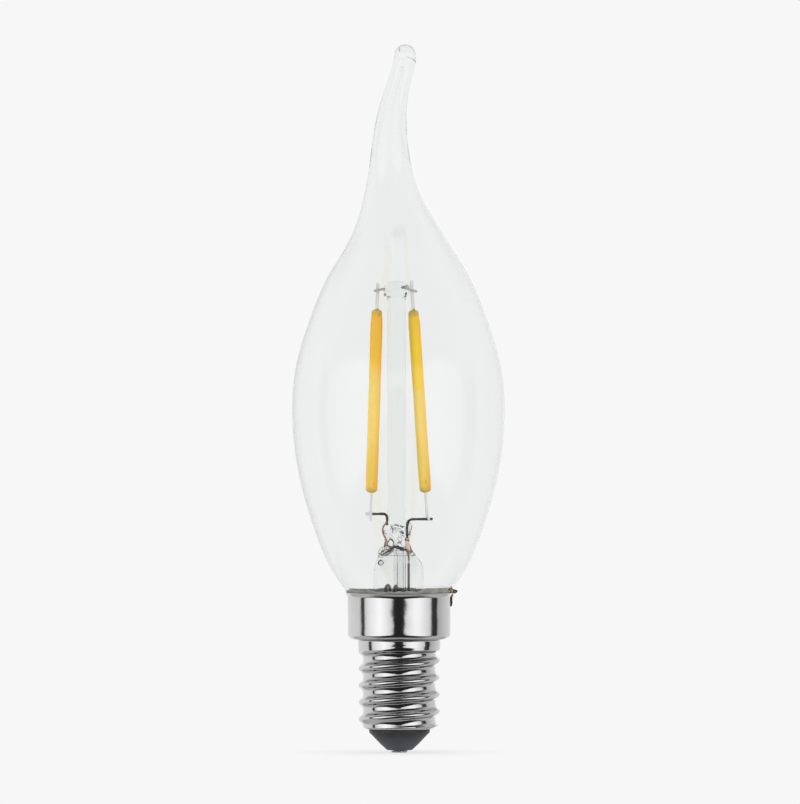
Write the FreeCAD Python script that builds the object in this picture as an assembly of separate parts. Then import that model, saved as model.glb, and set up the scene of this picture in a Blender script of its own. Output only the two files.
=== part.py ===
import FreeCAD
import Part
import math
import os
from FreeCAD import Vector

os.makedirs("parts", exist_ok=True)

# Candle bulb: clear glass with a bent flame tip, two light rods on a glass stem, small screw cap.
# Lengths are millimetres. Z is the axis of the cap and points to the tip of the glass.
# The origin is on the flat of the centre contact, and the front of the bulb looks to -Y.

# Screw cap
thread_pitch = 2.822
thread_diameter = 13.7
thread_round_share = 0.2913
thread_crest_z = 12.6
outside_phases = (-0.125, 0.125, 0.375, 0.625)
inside_phases = (0, 0.5)
sheet = 0.28
shell_bottom_z = 3.95
shell_chamfer = 1.3
thread_top_z = 17.2
thread_fade = 0.7
collar_height = 0.9
collar_step = 0.06
shoulder_height = 0.95
skirt_diameter = 17.2
skirt_height = 6.93
skirt_edge = 0.3
rim_flare = 0.42
rim_flare_height = 0.62

# Black glass insulator and centre contact
insulator_diameter = 10.14
insulator_tip_diameter = 4.66
insulator_bottom_z = 0.42
insulator_band = 0.5
insulator_inside_height = 2.4
insulator_tip_edge = 0.35
insulator_groove = 0.5
contact_diameter = 2.7
contact_thickness = 0.3
eyelet_diameter = 1.5
eyelet_bore = 0.8
eyelet_rise = 0.3
contact_solder_height = 1.2

# Blown glass: heights are above the rim of the cap
glass_axis_x = -0.15
glass_wall = 0.8
glass_seat_gap = 0.2
neck_depth = 5.6
throat_depth = 2.2
throat_spread = 0.25
belly_height = 28.1
belly_diameter = 35.3
tail_root_height = 57.4
tail_root_diameter = 17.84
tip_height = 91.32
tip_diameter = 3.5

# Cones of the glass: share of the height and of the change in diameter, rim to belly, belly to tail
lower_cone = ((0.0979, 0.2151), (0.3808, 0.6081), (0.6975, 0.8847))
upper_cone = ((0.3515, 0.0802), (0.5904, 0.323), (0.8635, 0.7216))

# Bent tail: share of the height from its root to the tip, diameter and sideways shift of each ring
tail_rings = (
    (0.1179, 13.5, -0.3),
    (0.2358, 10.0, -0.93),
    (0.3538, 7.66, -1.3),
    (0.51, 6.0, -1.43),
    (0.6692, 4.76, -1.05),
    (0.7871, 4.16, -0.18),
    (0.9051, 3.84, 0.9),
)
bore_end_share = 0.8432
bore_end_diameter = 1.2

# Cement between the neck and the skirt
cement_gap = 0.72
cement_depth = 3.6
cement_squeeze = 0.3

# Glass stem that carries the filaments
flare_tube_diameter = 8.4
flare_tube_wall = 0.9
flare_foot = 0.8
flare_rise = 4.2
flare_spread = 0.8
flare_knee_outside = 1.4
flare_knee_inside = 1.05
tube_top_height = 4.1
press_axis_x = -0.4
press_width = 5.2
press_depth = 3.0
press_shoulder = 2.9
press_height = 4.8
exhaust_diameter = 2.2
exhaust_bore = 1.1
exhaust_end_z = 18.4
exhaust_tip = 1.2
exhaust_tip_diameter = 1.1
exhaust_fused_length = 1.4
cavity_roof = 1.9
hole_diameter = 0.7
hole_drop = 0.35
column_axis_x = -0.5
column_diameter = 3.04
button_diameter = 4.34
button_height = 2.8
button_profile = ((0, 0), (0.1, 0.5), (0.32, 1), (0.62, 1), (0.85, 0.5), (1, -0.7))

# Filaments: ends are set round the column by a radius and an angle from +X
filament_length = 30.6
filament_width = 1.85
filament_thickness = 1.5
filament_round = 0.62
filament_dome_shares = ((0, 0), (0.19, 0), (0.38, 0.087), (0.52, 0.27))
filament_foot_gap = 4.8
button_above_filament = 2.0
filament_top_radius = 3.6
filament_foot_radius = 5.0
left_angles = (213.6, 205.6)
right_angles = (15.0, 38.9)
strip_width = 0.9
strip_thickness = 0.4
strip_end_gap = 0.9
chip_count = 28
chip_length = 0.56
chip_width = 0.3
chip_height = 0.14
tab_width = 0.62
tab_thickness = 0.22
tab_top_reach = 4.4
tab_foot_reach = 4.6

# Wires
lead_diameter = 0.42
seal_wire_diameter = 0.26
shell_wire_diameter = 0.22
lead_bend = 0.6
centre_wire_bend = 0.15
seal_bend = 0.3
seal_bow = (0.2, 0.42)
seal_turn_rise = 1.0
splice_rise = 0.63
weld_overrun = 0.75
left_weld_rise = 1.3
right_weld_rise = 0.4
bridge_below_top = 1.35
left_lead_place = (-2.05, -0.9)
right_lead_place = (1.25, 0.6)
left_lead_depth = 0.45
right_lead_depth = 2.9
left_tail_place = (-0.9, 1.9)
right_tail_place = (1.55, 0.62)
shell_wire_aside = 1.0
shell_wire_gap = 0.04
shell_wire_end = 0.5

# Driver inside the cap
board_width = 8.8
board_height = 9.2
board_thickness = 0.8
board_foot_z = 8.2
pad_x = 2.6
pad_length = 2.2
rectifier_size = (4.7, 1.5, 3.9)
rectifier_below_top = 4.4
driver_chip_size = (4.4, 1.4, 2.4)
driver_chip_above_foot = 1.2
pin_size = (0.5, 0.25, 0.45)
capacitor_diameter = 4.0
capacitor_length = 5.2
capacitor_above_foot = 0.3
fuse_diameter = 1.7
fuse_length = 3.4
fuse_gap = 0.2
rim_solder_diameter = 1.0

# Places worked out from the sizes above
thread_radius = thread_diameter / 2
thread_quarter = thread_pitch / 4
thread_round = thread_pitch * thread_round_share
thread_drop = thread_round - math.sqrt(thread_round ** 2 - thread_quarter ** 2)
root_radius = thread_radius - 2 * thread_drop
collar_top_z = thread_top_z + thread_fade + collar_height
skirt_bottom_z = collar_top_z + shoulder_height
rim_z = skirt_bottom_z + skirt_height
skirt_radius = skirt_diameter / 2
rim_inner_radius = skirt_radius + rim_flare - sheet
insulator_radius = insulator_diameter / 2
lip_top_z = shell_bottom_z + sheet
eyelet_top_z = lip_top_z + insulator_inside_height + eyelet_rise
neck_radius = skirt_radius - sheet - cement_gap
seal_z = rim_z - neck_depth
tube_radius = flare_tube_diameter / 2
tube_top_z = rim_z + tube_top_height
cavity_top_z = tube_top_z + cavity_roof
splice_z = tube_top_z + splice_rise
press_foot_z = tube_top_z + press_shoulder
press_top_z = press_foot_z + press_height
filament_foot_z = press_top_z + filament_foot_gap
button_foot_z = filament_foot_z + filament_length + button_above_filament
lead_radius = lead_diameter / 2
board_face = board_thickness / 2
board_top_z = board_foot_z + board_height


def turned(corners, axis_x=0.0):
    """Solid of revolution from corners of radius and height."""
    points = [Vector(radius, 0, height) for radius, height in corners]
    face = Part.Face(Part.makePolygon(points + points[:1]))
    solid = face.revolve(Vector(0, 0, 0), Vector(0, 0, 1), 360)
    solid.translate(Vector(axis_x, 0, 0))
    return solid


def corner_arc(before, corner, after, radius):
    """Arc of the radius, tangent to the two runs that meet at the corner."""
    back = (before - corner).normalize()
    ahead = (after - corner).normalize()
    half = back.getAngle(ahead) / 2
    setback = radius / math.tan(half)
    middle = (back + ahead).normalize() * (radius / math.sin(half) - radius)
    return Part.Arc(corner + back * setback, corner + middle, corner + ahead * setback)


def bent_wire(points, diameter, bend):
    """Round wire along straight runs with tangent bends."""
    edges = []
    start = points[0]
    for index in range(1, len(points) - 1):
        arc = corner_arc(points[index - 1], points[index], points[index + 1], bend)
        edges.append(Part.LineSegment(start, arc.StartPoint).toShape())
        edges.append(arc.toShape())
        start = arc.EndPoint
    edges.append(Part.LineSegment(start, points[-1]).toShape())
    section = Part.Circle(points[0], points[1] - points[0], diameter / 2).toShape()
    return Part.Wire(edges).makePipeShell([Part.Wire(section)], True, False)


def rounded_bar(width, thickness, rounding, length):
    """Bar that rises from the origin, with round long edges and its width along X."""
    bar = Part.makeBox(width, thickness, length, Vector(-width / 2, -thickness / 2, 0))
    long_edges = [edge for edge in bar.Edges if edge.BoundBox.ZLength > length / 2]
    return bar.makeFillet(rounding, long_edges)


def middle_box(width, thickness, foot, head):
    """Box with its middle on the Z axis, from the foot height to the head height."""
    corner = Vector(-width / 2, -thickness / 2, foot)
    return Part.makeBox(width, thickness, head - foot, corner)


# Screw cap


def thread_wave(phase):
    """Radius below the crest at a share of the pitch, along two arcs."""
    along = abs((phase + 0.5) % 1.0 - 0.5) * thread_pitch
    if along <= thread_quarter:
        return thread_round - math.sqrt(thread_round ** 2 - along ** 2)
    from_root = thread_pitch / 2 - along
    rise = thread_round - math.sqrt(thread_round ** 2 - from_root ** 2)
    return 2 * thread_drop - rise


def one_turn(radius, height):
    helix = Part.makeHelix(thread_pitch, thread_pitch, radius)
    helix.translate(Vector(0, 0, height))
    return helix.Edges[0]


def screw_body(crest_radius, bottom, top, phases):
    """Solid screw from strips between helices, longer than asked at both ends."""
    first = thread_crest_z
    while first > bottom - thread_pitch:
        first -= thread_pitch
    turns = int(math.ceil((top - first) / thread_pitch)) + 1
    radii = [crest_radius - thread_wave(phase) for phase in phases]
    rises = [thread_pitch * phase for phase in phases]
    radii.append(radii[0])
    rises.append(rises[0] + thread_pitch)
    faces = []
    for turn in range(turns):
        base = first + thread_pitch * turn
        for step in range(len(phases)):
            low = one_turn(radii[step], base + rises[step])
            high = one_turn(radii[step + 1], base + rises[step + 1])
            faces.append(Part.makeRuledSurface(low, high))
    for base in (first, first + thread_pitch * turns):
        foot = base + rises[0]
        head = base + rises[-1]
        axis = Part.LineSegment(Vector(0, 0, foot), Vector(0, 0, head)).toShape()
        faces.append(Part.makeRuledSurface(axis, one_turn(radii[0], foot)))
        outline = [Vector(0, 0, foot)]
        outline += [Vector(radius, 0, base + rise) for radius, rise in zip(radii, rises)]
        outline += [Vector(0, 0, head), Vector(0, 0, foot)]
        faces.append(Part.Face(Part.makePolygon(outline)))
    shell = Part.makeShell(faces)
    shell.sewShape()
    return Part.makeSolid(shell)


def shell_form(inset, phases):
    """Cap outline drawn in by the inset: thread between the bottom lip and the skirt."""
    crest = thread_radius - inset
    root = root_radius - inset
    skirt = skirt_radius - inset
    bottom = shell_bottom_z + inset
    collar = crest + collar_step
    limit = turned([
        (0, bottom),
        (collar - shell_chamfer, bottom),
        (collar, bottom + shell_chamfer),
        (collar, collar_top_z),
        (0, collar_top_z),
    ])
    thread = screw_body(crest, bottom, collar_top_z, phases).common(limit)
    upper = turned([
        (0, thread_top_z),
        (root, thread_top_z),
        (collar, thread_top_z + thread_fade),
        (collar, collar_top_z),
        (skirt - skirt_edge, skirt_bottom_z - skirt_edge),
        (skirt, skirt_bottom_z),
        (skirt, rim_z - rim_flare_height),
        (skirt + rim_flare, rim_z),
        (0, rim_z),
    ])
    return thread.fuse(upper)


def make_screw_shell():
    """Nickelled sheet with skirt, rolled thread and bottom lip."""
    hole = Part.makeCylinder(insulator_radius, 2 * shell_bottom_z)
    outside = shell_form(0, outside_phases)
    inside = shell_form(sheet, inside_phases)
    return outside.cut(inside).cut(hole)


def make_insulator():
    """Black glass cone that closes the cap and holds the contact."""
    tip = insulator_tip_diameter / 2
    band_z = shell_bottom_z - insulator_band
    inside = root_radius - 2 * sheet
    top_z = lip_top_z + insulator_inside_height
    bore = eyelet_diameter / 2
    return turned([
        (bore, insulator_bottom_z),
        (tip - insulator_tip_edge, insulator_bottom_z),
        (tip, insulator_bottom_z + insulator_tip_edge),
        (insulator_radius, band_z),
        (insulator_radius, lip_top_z),
        (inside - insulator_groove, lip_top_z),
        (inside, lip_top_z + insulator_groove),
        (inside, top_z - insulator_groove),
        (inside - insulator_groove, top_z),
        (bore, top_z),
    ])


def make_contact():
    """Stamped contact disc with its eyelet tube through the insulator."""
    disc = contact_diameter / 2
    tube = eyelet_diameter / 2
    bore = eyelet_bore / 2
    edge = contact_thickness / 2
    return turned([
        (bore, 0),
        (disc - edge, 0),
        (disc, edge),
        (disc, insulator_bottom_z),
        (tube, insulator_bottom_z),
        (tube, eyelet_top_z),
        (bore, eyelet_top_z),
    ])


# Blown glass


def between(start, end, shares):
    """Points between two points of radius and height, by shares of the height and the radius."""
    step = end - start
    return [start + Vector(step.x * wide, 0, step.z * up) for up, wide in shares]


def glass_stations():
    """Points on the outline of the round part of the glass, from the rim up."""
    rim = Vector(rim_inner_radius - glass_seat_gap, 0, rim_z)
    belly = Vector(belly_diameter / 2, 0, rim_z + belly_height)
    root = Vector(tail_root_diameter / 2, 0, rim_z + tail_root_height)
    lower = between(rim, belly, lower_cone)
    upper = between(belly, root, upper_cone)
    return [rim] + lower + [belly] + upper + [root]


def round_part(inset):
    """Turned part of the glass, solid inside, drawn in by the inset along its normal."""
    outer = Part.BSplineCurve()
    points = glass_stations()
    outer.interpolate(points)
    drawn = []
    for point in points:
        along = outer.tangent(outer.parameter(point))[0]
        drawn.append(point - Vector(along.z, 0, -along.x) * inset)
    wall = Part.BSplineCurve()
    wall.interpolate(drawn)
    neck = neck_radius - inset
    corners = [
        drawn[-1],
        Vector(0, 0, drawn[-1].z),
        Vector(0, 0, seal_z),
        Vector(neck, 0, seal_z),
        Vector(neck, 0, rim_z - throat_depth),
        Vector(neck + throat_spread, 0, rim_z - rim_flare_height),
        drawn[0],
    ]
    face = Part.Face(Part.Wire(Part.makePolygon(corners).Edges + [wall.toShape()]))
    return face.revolve(Vector(0, 0, 0), Vector(0, 0, 1), 360), drawn[-1]


def place_glass(solid):
    solid.translate(Vector(glass_axis_x, 0, 0))
    return solid


def ring(radius, height, shift):
    return Part.Wire(Part.Circle(Vector(shift, 0, height), Vector(0, 0, 1), radius).toShape())


def tail_height(share):
    """Height of a share of the way up the tail."""
    return rim_z + tail_root_height + (tip_height - tail_root_height) * share


def glass_form(inset, end_z, end_diameter):
    """Round part and bent tail as one solid, up to the given end ring."""
    body, edge = round_part(inset)
    rings = [ring(edge.x, edge.z, 0)]
    for share, diameter, shift in tail_rings:
        if tail_height(share) < end_z:
            rings.append(ring(diameter / 2 - inset, tail_height(share), shift))
    last_shift = tail_rings[-1][2]
    rings.append(ring(end_diameter / 2, end_z, last_shift))
    tail = Part.makeLoft(rings, True, False)
    return body.fuse(tail)


def make_envelope():
    """Blown glass with its neck, bent tail and sealed tip."""
    bead_z = rim_z + tip_height - tip_diameter / 2
    bead_shift = tail_rings[-1][2]
    outside = glass_form(0, bead_z, tip_diameter)
    bead = Part.makeSphere(tip_diameter / 2, Vector(bead_shift, 0, bead_z))
    inside = glass_form(glass_wall, tail_height(bore_end_share), bore_end_diameter)
    return place_glass(outside.fuse(bead).cut(inside))


def make_cement(wire):
    """Ring that holds the neck in the skirt, squeezed out a little over the rim."""
    outer = skirt_radius - sheet
    block = turned([
        (0, rim_z - cement_depth),
        (outer, rim_z - cement_depth),
        (outer, rim_z - rim_flare_height),
        (rim_inner_radius, rim_z),
        (rim_inner_radius + sheet / 2, rim_z),
        (rim_inner_radius + sheet / 2, rim_z + cement_squeeze),
        (0, rim_z + cement_squeeze),
    ])
    neck = place_glass(round_part(0)[0])
    return block.cut(neck).cut(wire)


# Glass stem


def press_oval(height):
    oval = Part.Ellipse(Vector(press_axis_x, 0, height), press_width / 2, press_depth / 2)
    return Part.Wire(oval.toShape())


def make_flare(holes):
    """Flared tube, sealed to the neck at its foot and pinched flat at its top."""
    inner = tube_radius - flare_tube_wall
    shoulder_z = seal_z + flare_rise
    tube = turned([
        (0, seal_z - flare_foot),
        (neck_radius, seal_z - flare_foot),
        (neck_radius, seal_z),
        (neck_radius - glass_wall, seal_z),
        (tube_radius + flare_spread, seal_z + flare_knee_outside),
        (tube_radius, shoulder_z),
        (tube_radius, tube_top_z),
        (0, tube_top_z),
    ], glass_axis_x)
    cavity = turned([
        (0, seal_z - flare_foot),
        (neck_radius - 2 * glass_wall, seal_z - flare_foot),
        (inner + flare_spread, seal_z + flare_knee_inside),
        (inner, shoulder_z),
        (inner, tube_top_z),
        (exhaust_diameter / 2, cavity_top_z),
        (0, cavity_top_z),
    ], glass_axis_x)
    foot = Part.Wire(Part.Circle(
        Vector(glass_axis_x, 0, tube_top_z), Vector(0, 0, 1), tube_radius).toShape())
    shoulder = Part.makeLoft([foot, press_oval(press_foot_z)], True, True)
    pinch = Part.Face(press_oval(press_foot_z)).extrude(Vector(0, 0, press_height))
    glass = tube.fuse([shoulder, pinch]).cut(cavity)
    return glass.cut(holes)


def make_exhaust_solid():
    radius = exhaust_diameter / 2
    return turned([
        (0, exhaust_end_z),
        (exhaust_tip_diameter / 2, exhaust_end_z),
        (radius, exhaust_end_z + exhaust_tip),
        (radius, cavity_top_z + exhaust_fused_length),
        (0, cavity_top_z + exhaust_fused_length),
    ])


def make_exhaust_hole():
    """Small hole from the tube out through the shoulder on the left."""
    start = Vector(0, 0, cavity_top_z + exhaust_fused_length / 2)
    along = Vector(-press_width, -press_depth / 2, -hole_drop)
    return Part.makeCylinder(hole_diameter / 2, press_width, start, along)


def make_exhaust_tube():
    """Thin pump tube, melted shut at its lower end."""
    bore = turned([
        (0, exhaust_end_z + exhaust_tip),
        (exhaust_bore / 2, exhaust_end_z + 2 * exhaust_tip),
        (exhaust_bore / 2, cavity_top_z + exhaust_fused_length),
        (0, cavity_top_z + exhaust_fused_length),
    ])
    return make_exhaust_solid().cut(bore).cut(make_exhaust_hole())


def make_column():
    """Glass rod with its upper end melted into a flat button."""
    rod = column_diameter / 2
    swell = button_diameter / 2 - rod
    corners = [(0, press_top_z), (rod, press_top_z)]
    for up, out in button_profile:
        corners.append((rod + swell * out, button_foot_z + button_height * up))
    corners.append((0, button_foot_z + button_height))
    return turned(corners, column_axis_x)


# Filaments


def round_column(radius, angle, height):
    turn = math.radians(angle)
    return Vector(column_axis_x + radius * math.cos(turn), radius * math.sin(turn), height)


def filament_placement(angles):
    """Frame of a filament: foot at the origin, Z up the rod, X away from the column."""
    foot_angle, top_angle = angles
    foot = round_column(filament_foot_radius, foot_angle, filament_foot_z)
    top = round_column(filament_top_radius, top_angle, filament_foot_z + filament_length)
    rise = (top - foot).normalize()
    middle = (top + foot) / 2
    outward = Vector(middle.x - column_axis_x, middle.y, 0)
    across = rise.cross(outward).normalize()
    turn = FreeCAD.Rotation(across.cross(rise), across, rise, "ZXY")
    return FreeCAD.Placement(foot, turn)


def make_coating_bar():
    """Bar of silicone with round long edges and domed ends."""
    width = filament_width
    bar = rounded_bar(width, filament_thickness, filament_round, filament_length)
    foot = [(width * out, width * up) for out, up in filament_dome_shares]
    head = [(radius, filament_length - rise) for radius, rise in reversed(foot)]
    return bar.common(turned(foot + head))


def make_filament(angles):
    """Coating, strip, chips and two tabs of one filament, each a separate solid."""
    head = filament_length
    strip_foot = strip_end_gap
    strip_head = head - strip_end_gap
    strip = middle_box(strip_width, strip_thickness, strip_foot, strip_head)
    top_tab = middle_box(tab_width, tab_thickness, strip_head, head + tab_top_reach)
    foot_tab = middle_box(tab_width, tab_thickness, -tab_foot_reach, strip_foot)
    spacing = (strip_head - strip_foot) / chip_count
    lift = Vector(0, (strip_thickness + chip_height) / 2, 0)
    chips = []
    for index in range(chip_count):
        middle = strip_foot + spacing * (index + 0.5)
        chip = middle_box(chip_width, chip_height, middle - chip_length / 2, middle + chip_length / 2)
        chip.translate(lift)
        chips.append(chip)
    coating = make_coating_bar().cut([strip, top_tab, foot_tab] + chips)
    pieces = {
        "coating": coating,
        "strip": strip,
        "chips": Part.makeCompound(chips),
        "top_tab": top_tab,
        "foot_tab": foot_tab,
    }
    placement = filament_placement(angles)
    for piece in pieces.values():
        piece.Placement = placement.multiply(piece.Placement)
    return pieces


# Wires


def weld_point(angles, height, diameter, front):
    """Middle of a wire laid on a tab at the height, on the front or the back of the tab."""
    placement = filament_placement(angles)
    rise = placement.Rotation.multVec(Vector(0, 0, 1))
    across = placement.Rotation.multVec(Vector(0, 1, 0))
    on_axis = placement.Base + rise * ((height - placement.Base.z) / rise.z)
    towards_front = across.y < 0
    side = 1 if towards_front == front else -1
    point = on_axis + across * (side * (tab_thickness + diameter) / 2)
    return Vector(point.x, point.y, height)


def run_over(start, weld):
    """End of a wire that runs level from the start and a little past the weld."""
    along = Vector(weld.x - start.x, weld.y - start.y, 0).normalize()
    return weld + along * weld_overrun


def make_bridge():
    """Wire through the button that joins the upper tabs of both filaments."""
    height = button_foot_z + button_height / 2
    tab_top_z = filament_foot_z + filament_length + tab_top_reach
    weld_z = tab_top_z - bridge_below_top
    left = weld_point(left_angles, weld_z, lead_diameter, True)
    right = weld_point(right_angles, weld_z, lead_diameter, True)
    middle = Vector(column_axis_x, 0, height)
    reach = button_diameter / 2 + lead_radius
    left_exit = middle + (Vector(left.x, left.y, height) - middle).normalize() * reach
    right_exit = middle + (Vector(right.x, right.y, height) - middle).normalize() * reach
    points = [
        run_over(left_exit, left),
        left_exit,
        middle,
        right_exit,
        run_over(right_exit, right),
    ]
    return bent_wire(points, lead_diameter, lead_bend)


def make_lead(place, foot_z, angles, weld_rise, front):
    """Stiff wire that rises from the press and runs out to a lower tab."""
    weld_z = press_top_z + weld_rise
    weld = weld_point(angles, weld_z, lead_diameter, front)
    corner = Vector(place[0], place[1], weld_z)
    foot = Vector(place[0], place[1], foot_z)
    return bent_wire([foot, corner, run_over(corner, weld)], lead_diameter, lead_bend)


def make_left_seal():
    """Copper-clad wire that bows along the left side of the press and ends behind the tube."""
    x, y = left_lead_place
    tail_x, tail_y = left_tail_place
    edge_x = press_axis_x - press_width / 2 + 2 * seal_wire_diameter
    top_z = press_top_z - left_lead_depth
    bow_top, bow_foot = seal_bow
    points = [
        Vector(x, y, top_z),
        Vector(edge_x, y / 2, top_z - press_height * bow_top),
        Vector(edge_x, 0, top_z - press_height * bow_foot),
        Vector(x + seal_wire_diameter, -y / 2, press_foot_z + seal_turn_rise),
        Vector(tail_x, tail_y, cavity_top_z),
        Vector(tail_x, tail_y, splice_z),
    ]
    return bent_wire(points, seal_wire_diameter, seal_bend)


def make_right_seal():
    x, y = right_lead_place
    tail_x, tail_y = right_tail_place
    points = [
        Vector(x, y, press_top_z - right_lead_depth),
        Vector(tail_x, tail_y, press_foot_z),
        Vector(tail_x, tail_y, splice_z),
    ]
    return bent_wire(points, seal_wire_diameter, seal_bend)


def make_tail(place, side):
    """Wire from a seal wire down the flared tube to the back of the board."""
    x, y = place
    pad_y = board_face + lead_radius
    points = [
        Vector(x, y, splice_z),
        Vector(x, y, seal_z),
        Vector(side * pad_x, pad_y, board_top_z + lead_bend),
        Vector(side * pad_x, pad_y, board_top_z - pad_length),
    ]
    return bent_wire(points, lead_diameter, lead_bend)


def make_centre_wire():
    """Wire from the contact up through the eyelet to the front of the board."""
    pad_y = -board_face - lead_radius
    points = [
        Vector(0, 0, contact_solder_height / 2),
        Vector(0, 0, eyelet_top_z + lead_diameter),
        Vector(0, pad_y, board_foot_z - lead_radius),
        Vector(0, pad_y, board_foot_z + driver_chip_above_foot - lead_radius),
    ]
    return bent_wire(points, lead_diameter, centre_wire_bend)


def make_shell_wire():
    """Thin wire from the board past the foot of the stem to the rim on the right."""
    radius = shell_wire_diameter / 2
    pad_y = -board_face - radius
    gap_x = (skirt_radius - sheet + neck_radius + glass_axis_x) / 2
    rim_x = rim_inner_radius - glass_seat_gap / 2 + glass_axis_x / 2
    wire_x = pad_x + shell_wire_aside
    end_z = rim_z + radius + shell_wire_gap
    points = [
        Vector(wire_x, pad_y, board_top_z - pad_length),
        Vector(wire_x, pad_y, board_top_z + shell_wire_aside),
        Vector(gap_x, 0, seal_z - flare_foot),
        Vector(gap_x, 0, rim_z - rim_flare_height),
        Vector(rim_x, 0, rim_z),
        Vector(rim_x + sheet / 2, 0, end_z),
        Vector(rim_x + shell_wire_end, 0, end_z),
    ]
    return bent_wire(points, shell_wire_diameter, radius)


# Driver


def package(size, foot_z, side):
    """Chip body on the board face with two pins at each end."""
    width, depth, height = size
    pin_width, pin_depth, pin_reach = pin_size
    body = Part.makeBox(width, depth, height, Vector(-width / 2, board_face, foot_z))
    pins = []
    for x in (-width / 4, width / 4):
        low = Vector(x - pin_width / 2, board_face, foot_z - pin_reach)
        high = Vector(x - pin_width / 2, board_face, foot_z + height)
        pins.append(Part.makeBox(pin_width, pin_depth, pin_reach, low))
        pins.append(Part.makeBox(pin_width, pin_depth, pin_reach, high))
    solid = body.fuse(pins)
    if side < 0:
        solid.rotate(Vector(0, 0, 0), Vector(0, 0, 1), 180)
    return solid


def make_capacitor():
    radius = capacitor_diameter / 2
    foot = Vector(0, board_face + radius, board_foot_z + capacitor_above_foot)
    return Part.makeCylinder(radius, capacitor_length, foot)


def make_fuse():
    radius = fuse_diameter / 2
    height = board_foot_z + capacitor_above_foot + capacitor_length + radius + fuse_gap
    start = Vector(-fuse_length / 2, board_face + radius, height)
    return Part.makeCylinder(radius, fuse_length, start, Vector(1, 0, 0))


def make_contact_solder(wire):
    plug = Part.makeCylinder(eyelet_bore / 2, contact_solder_height)
    return plug.cut(wire)


def make_rim_solder(shell, glass, cement, wire):
    """Drop of solder that joins the thin wire to the rim."""
    middle = Vector(skirt_radius + rim_flare + sheet / 2, 0, rim_z + shell_wire_diameter)
    drop = Part.makeSphere(rim_solder_diameter / 2, middle)
    return drop.cut([shell, glass, cement, wire])


def main():
    bridge = make_bridge()
    left_foot_z = press_top_z - left_lead_depth
    right_foot_z = press_top_z - right_lead_depth
    left_lead = make_lead(left_lead_place, left_foot_z, left_angles, left_weld_rise, False)
    right_lead = make_lead(right_lead_place, right_foot_z, right_angles, right_weld_rise, True)
    left_seal = make_left_seal().cut(left_lead)
    right_seal = make_right_seal().cut(right_lead)
    left_tail = make_tail(left_tail_place, -1)
    right_tail = make_tail(right_tail_place, 1)
    wires = [left_lead, right_lead, left_seal, right_seal, left_tail, right_tail]
    welds = [bridge, left_lead, right_lead]
    centre_wire = make_centre_wire()
    shell_wire = make_shell_wire()
    shell = make_screw_shell()
    glass = make_envelope()
    cement = make_cement(shell_wire)
    solids = {
        "glass_envelope": glass,
        "stem_flare": make_flare([make_exhaust_solid(), make_exhaust_hole()] + wires),
        "exhaust_tube": make_exhaust_tube(),
        "stem_column": make_column().cut(bridge),
        "bridge_wire": bridge,
        "left_inner_lead": left_lead,
        "right_inner_lead": right_lead,
        "left_seal_wire": left_seal,
        "right_seal_wire": right_seal,
        "left_outer_lead": left_tail,
        "right_outer_lead": right_tail,
        "screw_shell": shell,
        "cap_insulator": make_insulator(),
        "centre_contact": make_contact(),
        "contact_solder": make_contact_solder(centre_wire),
        "centre_wire": centre_wire,
        "shell_wire": shell_wire,
        "capping_cement": cement,
        "rim_solder": make_rim_solder(shell, glass, cement, shell_wire),
        "driver_board": middle_box(board_width, board_thickness, board_foot_z, board_top_z),
        "bridge_rectifier": package(rectifier_size, board_top_z - rectifier_below_top, -1),
        "driver_chip": package(driver_chip_size, board_foot_z + driver_chip_above_foot, -1),
        "smoothing_capacitor": make_capacitor(),
        "fuse_resistor": make_fuse(),
    }
    for side, angles in (("left", left_angles), ("right", right_angles)):
        for name, piece in make_filament(angles).items():
            welded = name.endswith("tab")
            solids[side + "_filament_" + name] = piece.cut(welds) if welded else piece
    for name, solid in solids.items():
        print(name, solid.isValid(), len(solid.Solids), round(solid.Volume, 3))
        solid.exportStep("parts/" + name + ".step")


main()
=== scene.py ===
import math

import bpy
import numpy as np
from mathutils import Matrix, Vector, noise


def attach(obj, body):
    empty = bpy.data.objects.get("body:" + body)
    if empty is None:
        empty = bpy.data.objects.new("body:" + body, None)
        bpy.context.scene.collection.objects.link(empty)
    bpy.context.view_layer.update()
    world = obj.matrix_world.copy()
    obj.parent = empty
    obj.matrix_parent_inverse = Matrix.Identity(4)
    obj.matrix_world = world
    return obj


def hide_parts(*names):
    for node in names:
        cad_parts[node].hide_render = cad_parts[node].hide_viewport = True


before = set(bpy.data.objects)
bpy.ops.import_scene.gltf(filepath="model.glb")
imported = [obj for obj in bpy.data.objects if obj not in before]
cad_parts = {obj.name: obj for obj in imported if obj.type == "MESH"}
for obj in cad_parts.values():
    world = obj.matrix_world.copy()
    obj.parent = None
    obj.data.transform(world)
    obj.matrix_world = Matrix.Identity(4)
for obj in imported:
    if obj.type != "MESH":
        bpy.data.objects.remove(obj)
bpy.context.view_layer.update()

# Lengths are millimetres until a mesh is made. The axis of the cap is Z and the front looks to -Y.
MM = 0.001
FULL = 2 * math.pi

# Screw cap
PITCH = 2.822
CREST = 6.85
ROUND = PITCH * 0.2913
QUARTER = PITCH / 4
DROP = ROUND - math.sqrt(ROUND ** 2 - QUARTER ** 2)
ROOT = CREST - 2 * DROP
CREST_Z = 12.6
CREST_SHARPNESS = 0.76
THREAD_DENTS = 0.007
COLLAR = CREST + 0.06
SHEET = 0.28
LIP_Z = 3.95
LIP_TOP_Z = 5.5
LIP_R = 5.25
RUN_OUT_Z = 16.45
COLLAR_FOOT_Z = 17.1
SKIRT = 8.6
SKIRT_SWELL = 0.06
SKIRT_DENTS = 0.0022
SHOULDER = 1.25
SKIRT_Z = 19.75
COLLAR_Z = 18.8
RIM_Z = 26.68
FLARE = 0.42
BASE_R = 5.07

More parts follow.
